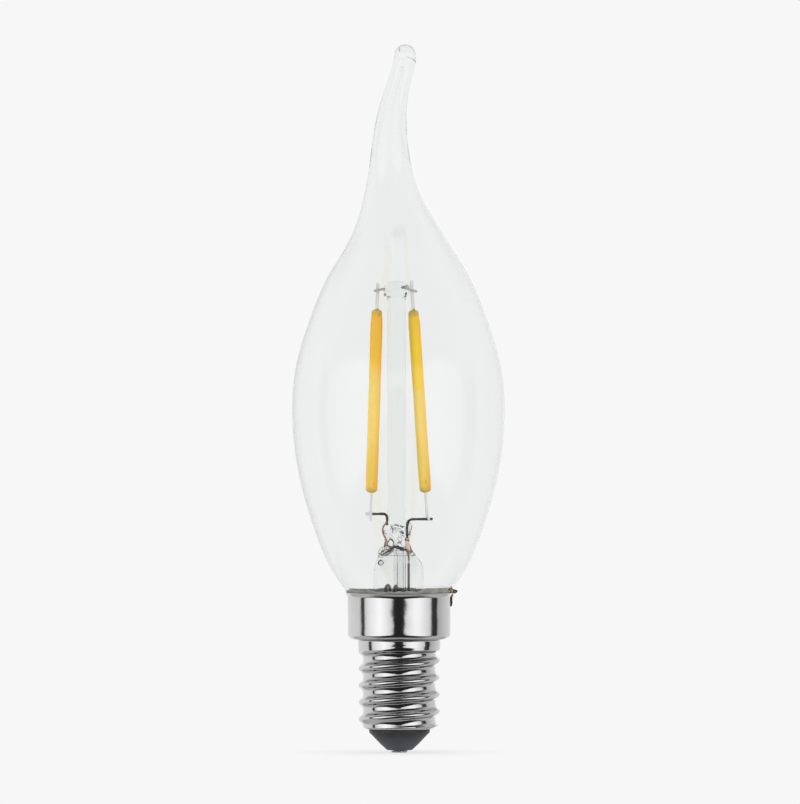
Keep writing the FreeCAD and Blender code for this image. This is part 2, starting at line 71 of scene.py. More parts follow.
# Glass and stem
GLASS_X = -0.15
WALL = 0.5
NECK = 7.6
NECK_WALL = 0.78
SEAL_Z = RIM_Z - 5.6
TIP_Z = RIM_Z + 91.32
PRESS_TOP = RIM_Z + 11.8
PRESS_X = -0.4
COLUMN_X = -0.5
ROD = 1.52
BUTTON = 2.17
BUTTON_Z = PRESS_TOP + 37.4
BUTTON_H = 2.8
PUMP_R = 1.1
PUMP_BORE = 0.55
PUMP_FOOT_Z = 19.6

# Filaments
FIL_LENGTH = 30.6
FIL_FOOT_Z = PRESS_TOP + 4.8
FIL_WIDE = 1.85
FIL_THICK = 1.5
FIL_DOME = 0.65
FOOT_R = 5.0
TOP_R = 3.6
LEFT_ANGLES = (213.6, 205.6)
RIGHT_ANGLES = (15.0, 38.9)
TAB_TOP = 4.4
TAB_FOOT = 4.6
WELD_FROM_END = 1.35


# Numbers


def spline(xs, ys):
    """Natural cubic spline through points as a function."""
    xs = np.asarray(xs, float)
    ys = np.asarray(ys, float)
    n = len(xs)
    h = np.diff(xs)
    a = np.zeros((n, n))
    b = np.zeros(n)
    a[0, 0] = a[-1, -1] = 1
    for i in range(1, n - 1):
        a[i, i - 1], a[i, i], a[i, i + 1] = h[i - 1], 2 * (h[i - 1] + h[i]), h[i]
        b[i] = 6 * ((ys[i + 1] - ys[i]) / h[i] - (ys[i] - ys[i - 1]) / h[i - 1])
    m = np.linalg.solve(a, b)

    def value(x):
        i = int(np.clip(np.searchsorted(xs, x) - 1, 0, n - 2))
        u, v = xs[i + 1] - x, x - xs[i]
        return ((m[i] * u ** 3 + m[i + 1] * v ** 3) / (6 * h[i])
                + (ys[i] / h[i] - m[i] * h[i] / 6) * u + (ys[i + 1] / h[i] - m[i + 1] * h[i] / 6) * v)

    return value


def ease(x, low, high):
    t = min(1.0, max(0.0, (x - low) / (high - low)))
    return t * t * (3 - 2 * t)


def soft_min(a, b, k):
    h = max(k - abs(a - b), 0.0) / k
    return min(a, b) - h * h * k / 4


def soft_max(a, b, k):
    return -soft_min(-a, -b, k)


def lump(x, y, z, seed=0.0):
    return noise.noise(Vector((x + 17.3 * seed, y - 5.1 * seed, z + 3.7 * seed)))


# Meshes

WIRE_SIDES = 16


def circle(z, radius, cx=0.0, count=128, deep=None):
    """Ring at a height; deep is the half size along Y where it isn't round."""
    angles = np.linspace(0, FULL, count, endpoint=False)
    ry = radius if deep is None else deep
    return np.stack([cx + radius * np.cos(angles), ry * np.sin(angles), np.full(count, z)], 1)


def pole(z, cx=0.0):
    return np.array([[cx, 0.0, z]])


def skin(rings, loop=False):
    """Vertices and faces over rings of points; a ring of one point closes an end."""
    starts = np.cumsum([0] + [len(r) for r in rings])
    pairs = [(i, i + 1) for i in range(len(rings) - 1)]
    if loop:
        pairs.append((len(rings) - 1, 0))
    faces = []
    for a, b in pairs:
        na, nb = len(rings[a]), len(rings[b])
        sa, sb = int(starts[a]), int(starts[b])
        n = max(na, nb)
        for i in range(n):
            j = (i + 1) % n
            if na == 1:
                faces.append((sa, sb + j, sb + i))
            elif nb == 1:
                faces.append((sa + i, sa + j, sb))
            else:
                faces.append((sa + i, sa + j, sb + j, sb + i))
    return np.concatenate(rings), faces


def volume(verts, faces):
    total = 0.0
    for f in faces:
        for k in range(1, len(f) - 1):
            total += np.dot(verts[f[0]], np.cross(verts[f[k]], verts[f[k + 1]]))
    return total / 6


def facing(shell, outward=True):
    """The shell with its faces turned outward, or inward for a hollow inside glass."""
    verts, faces = shell
    if (volume(verts, faces) > 0) != outward:
        faces = [tuple(reversed(f)) for f in faces]
    return verts, faces


def joined(shells):
    verts, faces, base = [], [], 0
    for v, f in shells:
        verts.append(v)
        faces += [tuple(base + i for i in one) for one in f]
        base += len(v)
    return np.concatenate(verts), faces


def piece(name, shells, material, nodes=(), sharp=None, place=None):
    """One object of the bulb from closed shells, riding on the root body."""
    verts, faces = joined(shells)
    mesh = bpy.data.meshes.new(name)
    mesh.from_pydata((verts * MM).tolist(), [], faces)
    mesh.shade_smooth()
    if sharp is not None:
        mesh.set_sharp_from_angle(angle=math.radians(sharp))
    mesh.materials.append(material)
    obj = bpy.data.objects.new(name, mesh)
    bpy.context.scene.collection.objects.link(obj)
    if place is not None:
        obj.matrix_world = place
    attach(obj, "root")
    if nodes:
        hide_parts(*nodes)


def lathe(profile, count=128, bumps=None, loop=False):
    """Turned shell from radius and height; bumps moves each radius by angle and height."""
    rings = []
    for r, z in profile:
        if r <= 1e-6:
            rings.append(pole(z))
            continue
        ring = circle(z, r, count=count)
        if bumps is not None:
            for i in range(count):
                angle = FULL * i / count
                dr, dz = bumps(angle, r, z)
                ring[i] = ((r + dr) * math.cos(angle), (r + dr) * math.sin(angle), z + dz)
        rings.append(ring)
    return skin(rings, loop)


def arc(cx, cz, rx, rz, start, end, steps):
    """Points of an elliptic arc of radius and height, angles in degrees."""
    points = []
    for k in range(steps + 1):
        a = math.radians(start + (end - start) * k / steps)
        points.append((cx + rx * math.cos(a), cz + rz * math.sin(a)))
    return points


def rounded_path(corners, bend, steps=8):
    """Points along straight runs with smooth bends."""
    corners = [np.asarray(c, float) for c in corners]
    points = [corners[0]]
    for before, corner, after in zip(corners, corners[1:], corners[2:]):
        back, ahead = before - corner, after - corner
        d = min(bend, np.linalg.norm(back) * 0.48, np.linalg.norm(ahead) * 0.48)
        p = corner + back / np.linalg.norm(back) * d
        q = corner + ahead / np.linalg.norm(ahead) * d
        for k in range(steps + 1):
            t = k / steps
            points.append(p * (1 - t) ** 2 + corner * 2 * t * (1 - t) + q * t * t)
    points.append(corners[-1])
    return points


def denser(points, step):
    """The same path with no gap between points above the step."""
    out = [points[0]]
    for a, b in zip(points, points[1:]):
        n = max(1, int(math.ceil(np.linalg.norm(b - a) / step)))
        for k in range(1, n + 1):
            out.append(a + (b - a) * k / n)
    return out


def wire(points, radius, wobble, seed, shape=None):
    """Round wire along points with rounded ends; shape scales the radius by the place of a point."""
    points = [np.asarray(p, float) for p in points]
    tangents = []
    for i in range(len(points)):
        t = points[min(i + 1, len(points) - 1)] - points[max(i - 1, 0)]
        tangents.append(t / np.linalg.norm(t))
    up = np.array([0.0, 1.0, 0.0])
    if abs(np.dot(up, tangents[0])) > 0.9:
        up = np.array([1.0, 0.0, 0.0])
    side = np.cross(tangents[0], up)
    side /= np.linalg.norm(side)
    rings = []
    angles = np.linspace(0, FULL, WIRE_SIDES, endpoint=False)
    total = len(points) - 1
    for i, (p, t) in enumerate(zip(points, tangents)):
        side = side - t * np.dot(side, t)
        side /= np.linalg.norm(side)
        other = np.cross(t, side)
        r = radius * (1 + wobble * lump(i * 0.37, 0.0, 0.0, seed))
        if shape is not None:
            r *= shape(p)

        def ring(at, rr):
            return at + rr * (np.outer(np.cos(angles), side) + np.outer(np.sin(angles), other))

        if i == 0:
            rings.append((p - t * r * 0.7)[None, :])
            rings.append(ring(p - t * r * 0.55, r * 0.6))
            rings.append(ring(p - t * r * 0.25, r * 0.9))
        rings.append(ring(p, r))
        if i == total:
            rings.append(ring(p + t * r * 0.25, r * 0.9))
            rings.append(ring(p + t * r * 0.55, r * 0.6))
            rings.append((p + t * r * 0.7)[None, :])
    return facing(skin(rings))


def strand(corners, bend, step, radius, wobble, seed, shape=None):
    """Wire along straight runs with smooth bends."""
    return wire(denser(rounded_path(corners, bend), step), radius, wobble, seed, shape)


def blob(centre, size, count=24, rough=0.0, seed=0.0, outward=True):
    """Rounded lump of the three half sizes."""
    rows = count // 2
    rings = []
    for k in range(rows + 1):
        a = math.pi * k / rows
        z = -math.cos(a)
        r = math.sin(a)
        if r < 1e-6:
            rings.append(np.array([[0.0, 0.0, z]]))
            continue
        rings.append(circle(z, r, count=count))
    verts, faces = skin(rings)
    out = []
    for v in verts:
        s = 1 + rough * lump(v[0] * 1.7, v[1] * 1.7, v[2] * 1.7, seed)
        out.append([centre[i] + v[i] * size[i] * s for i in range(3)])
    return facing((np.array(out), faces), outward)


# Materials


def nodes_of(name):
    material = bpy.data.materials.new(name)
    material.use_nodes = True
    tree = material.node_tree
    return material, tree, tree.nodes["Principled BSDF"]


def add(tree, kind, **settings):
    node = tree.nodes.new(kind)
    for key, value in settings.items():
        setattr(node, key, value)
    return node


def fill(node, values):
    for name, value in values.items():
        node.inputs[name].default_value = value


def noise_into(tree, scale):
    """Noise over the object's own coordinates, in metres."""
    coord = add(tree, "ShaderNodeTexCoord")
    texture = add(tree, "ShaderNodeTexNoise")
    fill(texture, {"Scale": scale, "Detail": 3.0, "Roughness": 0.55})
    tree.links.new(coord.outputs["Object"], texture.inputs["Vector"])
    return texture.outputs["Fac"]


def ramp(tree, source, stops):
    """Colour by a value from 0 to 1."""
    node = add(tree, "ShaderNodeValToRGB")
    elements = node.color_ramp.elements
    while len(elements) > 1:
        elements.remove(elements[-1])
    elements[0].position = stops[0][0]
    elements[0].color = (*stops[0][1], 1)
    for place, color in stops[1:]:
        elements.new(place).color = (*color, 1)
    tree.links.new(source, node.inputs["Fac"])
    return node.outputs["Color"]


def map_range(tree, value, low, high, start=0.0, end=1.0, smooth=False):
    """The value taken from the range low..high to start..end."""
    node = add(tree, "ShaderNodeMapRange", interpolation_type="SMOOTHSTEP" if smooth else "LINEAR")
    fill(node, {"From Min": low, "From Max": high, "To Min": start, "To Max": end})
    tree.links.new(value, node.inputs["Value"])
    return node.outputs["Result"]


def object_axes(tree):
    """X, Y and Z of the object's own coordinates, in metres."""
    coord = add(tree, "ShaderNodeTexCoord")
    split = add(tree, "ShaderNodeSeparateXYZ")
    tree.links.new(coord.outputs["Object"], split.inputs["Vector"])
    return split.outputs


def mixed(tree, share, first, second):
    """Mix of two colours, each a socket or a grey level."""
    node = add(tree, "ShaderNodeMix", data_type="RGBA")
    for index, value in ((0, share), (6, first), (7, second)):
        if isinstance(value, float):
            node.inputs[index].default_value = (*grey(value), 1)
        else:
            tree.links.new(value, node.inputs[index])
    return node.outputs[2]


def scaled(tree, color, share):
    node = add(tree, "ShaderNodeVectorMath", operation="SCALE")
    tree.links.new(color, node.inputs[0])
    tree.links.new(share, node.inputs["Scale"])
    return node.outputs[0]


def grey(v):
    return (v, v, v)


def mottled(name, low, high, scale, metallic, rough, bump=0.0, bump_scale=0):
    """Material whose colour and roughness vary with noise."""
    material, tree, shader = nodes_of(name)
    texture = noise_into(tree, scale)
    color = ramp(tree, texture, [(0.32, low), (0.68, high)])
    tree.links.new(color, shader.inputs["Base Color"])
    dull = ramp(tree, texture, [(0.3, grey(rough[0])), (0.7, grey(rough[1]))])
    tree.links.new(dull, shader.inputs["Roughness"])
    fill(shader, {"Metallic": metallic})
    if bump:
        relief = add(tree, "ShaderNodeBump")
        fill(relief, {"Strength": bump, "Distance": 0.0001})
        tree.links.new(noise_into(tree, bump_scale), relief.inputs["Height"])
        tree.links.new(relief.outputs["Normal"], shader.inputs["Normal"])
    return material


def glass(name, ior, density, tint, color):
    """Clear glass with a tint that grows with its depth."""
    material, tree, shader = nodes_of(name)
    fill(shader, {"Base Color": (*color, 1), "Roughness": 0.0, "IOR": ior, "Transmission Weight": 1.0})
    absorb = add(tree, "ShaderNodeVolumeAbsorption")
    fill(absorb, {"Color": (*tint, 1), "Density": density})
    output = tree.nodes["Material Output"]
    tree.links.new(absorb.outputs["Volume"], output.inputs["Volume"])
    return material


def phosphor(name, stops, painted_shade_side):
    """Silicone coating: colour along the rod, and painted shade in a deeper orange towards one side."""
    material, tree, shader = nodes_of(name)
    axes = object_axes(tree)
    along = map_range(tree, axes["Z"], 0.0, FIL_LENGTH * MM)
    lit_color = ramp(tree, along, [(place, color) for place, color, _ in stops])
    shaded_color = ramp(tree, along, [(place, color) for place, _, color in stops])
    # painted shade: the coating turns deeper orange across the rod towards its shaded side
    across = map_range(tree, axes["X"], -painted_shade_side * 0.45 * MM, painted_shade_side * 0.75 * MM, smooth=True)
    tree.links.new(mixed(tree, across, lit_color, shaded_color), shader.inputs["Base Color"])
    fill(shader, {"Roughness": 0.45, "Specular IOR Level": 0.3, "Subsurface Weight": 0.25,
                  "Subsurface Radius": (0.6, 0.35, 0.1), "Subsurface Scale": 0.0004})
    return material


def paint_light_below(material, low, high, gain):
    """Painted light: makes the colour lighter from the height high down to low, by the gain."""
    tree = material.node_tree
    socket = tree.nodes["Principled BSDF"].inputs["Base Color"]
    source = socket.links[0].from_socket
    share = map_range(tree, object_axes(tree)["Z"], low, high, gain, 1.0)
    tree.links.new(scaled(tree, source, share), socket)


clear_glass = glass("clear_glass", 1.5, 14.0, (0.3, 0.46, 0.38), (0.972, 0.981, 0.976))
stem_glass = glass("stem_glass", 1.5, 22.0, (0.28, 0.42, 0.36), (0.985, 0.992, 0.99))
nickelled = mottled("nickelled_sheet", grey(0.78), grey(0.86), 90, 1.0, (0.07, 0.14), 0.05, 2200)
nickel_wire = mottled("nickel_wire", grey(0.42), grey(0.6), 700, 1.0, (0.2, 0.35))
copper_clad = mottled("copper_clad_wire", (0.62, 0.25, 0.16), (0.8, 0.4, 0.28), 900, 0.7, (0.3, 0.45))
dark_wire = mottled("dark_wire", grey(0.012), grey(0.05), 900, 0.6, (0.25, 0.4))
tab_steel = mottled("tab_steel", (0.8, 0.79, 0.78), (0.9, 0.88, 0.87), 800, 0.35, (0.35, 0.5), 0.2, 4000)
black_glass = mottled("black_glass", (0.034, 0.036, 0.041), (0.046, 0.048, 0.053), 400, 0.0, (0.4, 0.5),
                      0.25, 1800)
# painted light: the black glass base is made lighter towards its bottom
paint_light_below(black_glass, 0.5 * MM, 3.0 * MM, 3.0)
contact_metal = mottled("contact_metal", grey(0.62), grey(0.9), 900, 0.35, (0.25, 0.5), 0.5, 2500)
solder = mottled("solder", grey(0.4), grey(0.9), 900, 0.4, (0.25, 0.5), 0.6, 2500)
rim_solder = mottled("rim_solder", grey(0.04), grey(0.5), 900, 0.9, (0.25, 0.45), 0.4, 2500)
# painted shade: grey of the dark lines the press folds show
pinch_painted_shade = mottled("pinch_painted_shade", grey(0.05), grey(0.35), 1500, 0.3, (0.2, 0.4))
thin_copper = mottled("thin_copper", (0.3, 0.12, 0.07), (0.5, 0.22, 0.13), 900, 0.7, (0.3, 0.45))
pink_sleeve = mottled("pink_sleeve", (0.8, 0.5, 0.42), (0.95, 0.72, 0.64), 900, 0.2, (0.15, 0.3))
cement = mottled("cement", (0.27, 0.265, 0.245), (0.5, 0.485, 0.44), 500, 0.0, (0.75, 0.9), 0.8, 3000)
flux = mottled("flux", (0.3, 0.19, 0.05), (0.5, 0.36, 0.12), 500, 0.0, (0.15, 0.3))
scorch = mottled("scorch", (0.01, 0.01, 0.01), (0.05, 0.04, 0.03), 900, 0.0, (0.2, 0.4))
tab_root = mottled("tab_root", (0.08, 0.06, 0.015), (0.3, 0.2, 0.04), 1500, 0.0, (0.3, 0.5))
coat_speck = mottled("coat_speck", (0.42, 0.29, 0.03), (0.66, 0.45, 0.05), 1800, 0.0, (0.4, 0.5))
board = mottled("board_laminate", (0.05, 0.17, 0.09), (0.07, 0.22, 0.12), 600, 0.0, (0.4, 0.55))
chip_plastic = mottled("chip_plastic", grey(0.012), grey(0.03), 800, 0.0, (0.5, 0.6))
can = mottled("capacitor_can", (0.02, 0.03, 0.06), (0.04, 0.05, 0.1), 600, 0.0, (0.3, 0.4))
resistor = mottled("resistor_coat", (0.2, 0.3, 0.25), (0.28, 0.4, 0.33), 600, 0.0, (0.4, 0.5))
ceramic = mottled("strip_ceramic", (0.75, 0.74, 0.7), (0.85, 0.84, 0.8), 600, 0.0, (0.5, 0.6))
crystal = mottled("chip_crystal", (0.6, 0.65, 0.7), (0.7, 0.75, 0.8), 600, 0.0, (0.1, 0.2))

# Colour stops of the coating: share of its length from the foot, colour, and the deeper colour of the painted
# shade on one side
OLIVE = (0.5, 0.37, 0.06)
OCHRE = (0.62, 0.36, 0.03)
LEFT_STOPS = [
    (0.0, OLIVE, OCHRE),
    (0.035, (0.95, 0.6, 0.07), (0.95, 0.45, 0.02)),
    (0.3, (0.97, 0.66, 0.11), (0.98, 0.53, 0.04)),
    (0.58, (0.97, 0.67, 0.12), (0.98, 0.53, 0.05)),
    (0.7, (0.96, 0.56, 0.02), (0.98, 0.45, 0.01)),
    (0.95, (0.93, 0.52, 0.02), (0.96, 0.43, 0.008)),
    (0.975, (0.8, 0.46, 0.03), (0.8, 0.42, 0.02)),
    (1.0, OLIVE, OLIVE),
]
RIGHT_STOPS = [
    (0.0, OLIVE, OCHRE),
    (0.035, (0.95, 0.62, 0.07), (0.94, 0.45, 0.015)),
    (0.12, (0.97, 0.67, 0.12), (0.96, 0.55, 0.06)),
    (0.545, (0.97, 0.69, 0.13), (0.97, 0.6, 0.08)),
    (0.565, (1.0, 0.66, 0.015), (1.0, 0.58, 0.008)),
    (0.8, (1.0, 0.67, 0.012), (1.0, 0.57, 0.006)),
    (0.955, (0.98, 0.63, 0.015), (0.96, 0.5, 0.008)),
    (0.965, (0.78, 0.52, 0.04), (0.86, 0.5, 0.03)),
    (1.0, OLIVE, OLIVE),
]
# Both coatings carry the painted shade on their right-hand side.
left_phosphor = phosphor("phosphor_silicone", LEFT_STOPS, -1)
right_phosphor = phosphor("phosphor_silicone_right", RIGHT_STOPS, 1)


# Screw cap


def thread_depth(phase):
    """Depth below the crest of a round thread whose crests are pinched a little."""
    along = (2 * abs((phase + 0.5) % 1.0 - 0.5)) ** CREST_SHARPNESS * PITCH / 2
    if along <= QUARTER:
        return ROUND - math.sqrt(ROUND ** 2 - along ** 2)
    return 2 * DROP - (ROUND - math.sqrt(ROUND ** 2 - (PITCH / 2 - along) ** 2))


def shell_radius(angle, z):
    """Outer radius of the sheet between the bottom lip and the collar."""
    wave = CREST - thread_depth((z - CREST_Z) / PITCH - angle / FULL)
    below = (LIP_TOP_Z - min(z, LIP_TOP_Z)) / (LIP_TOP_Z - LIP_Z)
    lip = LIP_R + (COLLAR - LIP_R) * math.sqrt(max(0.0, 1 - below ** 2))
    low = soft_min(wave, lip, 0.25)
    collar = COLLAR - 0.12 * (max(0.0, 18.3 - z) / 1.3) ** 2
    run_out = ROOT - 0.3 + (collar - ROOT + 0.3) * ease(z, RUN_OUT_Z, COLLAR_FOOT_Z)
    return soft_max(low, run_out, 0.2)


def make_cap():
    count = 208
    angles = [FULL * i / count for i in range(count)]
    rings = []

    def row(radii, z, uneven=0.0):
        ring = circle(z, 1.0, count=count)
        dents = np.array([1 + uneven * lump(x * 3.2, y * 3.2, z * 0.45, 11.0) for x, y, _ in ring])
        ring[:, 0] *= radii * dents
        ring[:, 1] *= radii * dents
        rings.append(ring)

    def swell(z):
        return SKIRT_SWELL * ease(z, RIM_Z - 4.0, RIM_Z - 0.6)

    edge = SHEET / 2
    for r, z in arc(BASE_R + 0.02 + edge, LIP_Z + edge, edge, edge, 180, 270, 4):
        row(r, z)
    for k in range(1, 13):
        a = math.pi / 2 * k / 13
        z = LIP_TOP_Z - (LIP_TOP_Z - LIP_Z) * math.cos(a)
        row(np.array([shell_radius(t, z) for t in angles]), z)
    for z in np.arange(LIP_TOP_Z, COLLAR_Z - 0.25, 0.08):
        dents = THREAD_DENTS * ease(z, LIP_TOP_Z, 6.5) * (1 - ease(z, 16.5, 17.5))
        row(np.array([shell_radius(t, z) for t in angles]), z, dents)
    for r, z in arc(COLLAR + 0.22, COLLAR_Z - 0.22, 0.22, 0.22, 180, 90, 6):
        row(r, z)
    for r, z in arc(SKIRT - SHOULDER, SKIRT_Z, SHOULDER, SKIRT_Z - COLLAR_Z, -84, 0, 16):
        row(r, z)
    for z in np.linspace(SKIRT_Z + 0.4, RIM_Z - 0.95, 32):
        dents = SKIRT_DENTS * ease(z, SKIRT_Z + 0.4, SKIRT_Z + 1.6) * (1 - ease(z, RIM_Z - 2.4, RIM_Z - 0.95))
        row(SKIRT + swell(z), z, dents)
    for k in range(11):
        t = k / 10
        z = RIM_Z - 0.85 + 0.71 * t
        row(SKIRT + swell(z) + (FLARE + 0.02 - SKIRT_SWELL) * t * t * (1.6 - 0.6 * t), z)
    outer = SKIRT + FLARE + 0.02
    for r, z in arc(outer - edge, RIM_Z - edge, edge, edge, 10, 170, 8):
        row(r, z)
    for k in range(7):
        t = 1 - k / 6
        row(SKIRT - SHEET + FLARE * t * t, RIM_Z - 0.9 + 0.65 * t)
    row(SKIRT - SHEET, SKIRT_Z + 0.1)
    for r, z in arc(SKIRT - SHOULDER, SKIRT_Z + 0.05, SHOULDER - SHEET, 0.7, -8, -80, 6):
        row(r, z)
    inside = [(COLLAR - SHEET, COLLAR_Z), (COLLAR - SHEET, 17.8), (ROOT - SHEET, COLLAR_FOOT_Z)]
    inside += [(ROOT - SHEET, 6.0), (ROOT - SHEET - 0.35, LIP_Z + SHEET + 0.1), (BASE_R + 0.3, LIP_Z + SHEET)]
    inside += [(BASE_R + 0.02 + edge, LIP_Z + SHEET), (BASE_R + 0.04, LIP_Z + SHEET * 0.8)]
    for r, z in inside:
        row(r, z)
    shell = facing(skin(rings, loop=True))
    piece("nickel_screw_cap", [shell], nickelled, ["screw_shell"], 50)


make_cap()


# Black glass insulator, contact and its solder

BASE_BOTTOM = 0.42
BASE_TIP = 2.33
base_profile = [(0.78, BASE_BOTTOM + 0.02)]
base_profile += arc(BASE_TIP - 0.4, BASE_BOTTOM + 0.4, 0.4, 0.4, -90, -40, 5)
base_profile += [(3.2, 1.43), (4.6, 2.93)]
base_profile += arc(BASE_R - 0.35, 3.55, 0.35, 0.4, -42, 0, 5)
base_profile += [(BASE_R, 3.7), (BASE_R, 4.23), (4.99, 4.26), (5.3, 4.5), (5.49, 4.75), (5.49, 6.2)]
base_profile += [(5.1, 6.62), (0.78, 6.62)]
base = facing(lathe(base_profile, loop=True,
                    bumps=lambda a, r, z: (0.02 * lump(2 * math.cos(a), 2 * math.sin(a), z), 0.0)))
piece("black_glass_base", [base], black_glass, ["cap_insulator"], 35)

disc_profile = [(0.42, 0.03)] + arc(1.2, 0.15, 0.15, 0.13, -90, 90, 8)
disc_profile += [(0.86, 0.3), (0.76, 0.4), (0.75, 6.9), (0.9, 6.98), (0.42, 6.93)]
disc = facing(lathe(disc_profile, count=64, loop=True,
                    bumps=lambda a, r, z: (0.05 * lump(1.5 * math.cos(a), 1.5 * math.sin(a), z), 0.0)))
piece("contact_disc", [disc], contact_metal, ["centre_contact"], 40)
drop = blob((0.1, -0.05, 0.32), (1.18, 1.2, 0.3), 40, 0.22, 3.0)
plug = blob((0, 0, 0.7), (0.4, 0.4, 0.6), 20, 0.05, 1.0)
piece("contact_solder_drop", [drop, plug], solder, ["contact_solder"])


# Blown glass

# Height above the rim, radius and sideways shift
STATIONS = [
    (0.0, 8.54, 0.0), (2.75, 10.5, 0.0), (10.7, 14.08, 0.0), (19.6, 16.6, 0.0), (28.1, 17.65, 0.0),
    (38.4, 16.95, 0.0), (45.4, 14.83, 0.0), (53.4, 11.35, 0.0), (57.4, 8.92, 0.0), (61.4, 6.75, -0.3),
    (65.4, 5.0, -0.93), (69.4, 3.83, -1.3), (74.7, 3.0, -1.43), (80.1, 2.38, -1.05), (84.1, 2.08, -0.18),
    (88.1, 1.92, 0.9), (91.32, 1.78, 1.25),
]
heights = [s[0] for s in STATIONS]
outer_radius = spline(heights, [s[1] for s in STATIONS])
axis_shift = spline(heights, [s[2] for s in STATIONS])
BEAD = 1.75
BEAD_H = 91.32 - BEAD
BORE_END = 86.0
BORE_CAP = 1.6


def wall_inside(h):
    slope = (outer_radius(h + 0.05) - outer_radius(h - 0.05)) / 0.1
    thin = WALL * (1 - 0.2 * ease(h, 5, 25) * (1 - ease(h, 45, 58)))
    return outer_radius(h) - thin * math.sqrt(1 + slope * slope)


def make_envelope():
    count = 160
    rings = []
    bead_shift = axis_shift(BEAD_H)
    rings.append(pole(TIP_Z, GLASS_X + bead_shift))
    for k in range(1, 14):
        a = math.pi / 2 * k / 14
        top = RIM_Z + BEAD_H + BEAD * math.cos(a)
        rings.append(circle(top, BEAD * math.sin(a), GLASS_X + bead_shift, count))
    for h in np.concatenate([np.arange(BEAD_H, 56, -0.3), np.arange(56, 0, -0.55)]):
        r = outer_radius(h)
        if h > BEAD_H - 1.2:
            r += (BEAD - r) * ease(h, BEAD_H - 1.2, BEAD_H)
        rings.append(circle(RIM_Z + h, r, GLASS_X + axis_shift(h), count))
    neck = [(8.54, 0), (8.2, -0.35), (7.9, -0.7), (7.7, -1.2), (NECK, -2.0), (NECK, -5.4)]
    neck += [(NECK - 0.15, -5.6), (NECK - NECK_WALL, -5.6), (NECK - NECK_WALL, -2.0), (7.7 - NECK_WALL, -1.2)]
    neck += [(7.9 - NECK_WALL, -0.7), (8.2 - NECK_WALL * 1.1, -0.3)]
    for r, h in neck:
        rings.append(circle(RIM_Z + h, r, GLASS_X, count))
    for h in np.concatenate([np.arange(0.2, 56, 0.55), np.arange(56, BORE_END, 0.3)]):
        r = wall_inside(h) * (1 - ease(h, BORE_END - 16, BORE_END) * 0.72)
        rings.append(circle(RIM_Z + h, r, GLASS_X + axis_shift(h), count))
    last = rings[-1]
    r_end = (last[0, 0] - last[count // 2, 0]) / 2
    shift = GLASS_X + axis_shift(BORE_END)
    for k in range(1, 9):
        a = math.pi / 2 * k / 9
        top = RIM_Z + BORE_END + BORE_CAP * math.sin(a)
        rings.append(circle(top, r_end * math.cos(a), shift + 0.25 * math.sin(a), count))
    rings.append(pole(RIM_Z + BORE_END + BORE_CAP, shift + 0.25))
    wall = facing(skin(rings))
    thread = [(1.1, -0.2, 115.95), (1.9, -0.3, 115.55), (2.55, -0.2, 114.95)]
    bubbles = [
        blob((GLASS_X + 0.35, -0.5, TIP_Z - 1.0), (0.16, 0.12, 0.28), 16, 0.2, 5.0, False),
        facing(strand(thread, 0.3, 0.1, 0.1, 0.4, 6.0), False),
    ]
    piece("blown_glass", [wall] + bubbles, clear_glass, ["glass_envelope"])


make_envelope()


# Stem: flared foot, pinched press, column and button in one body of glass


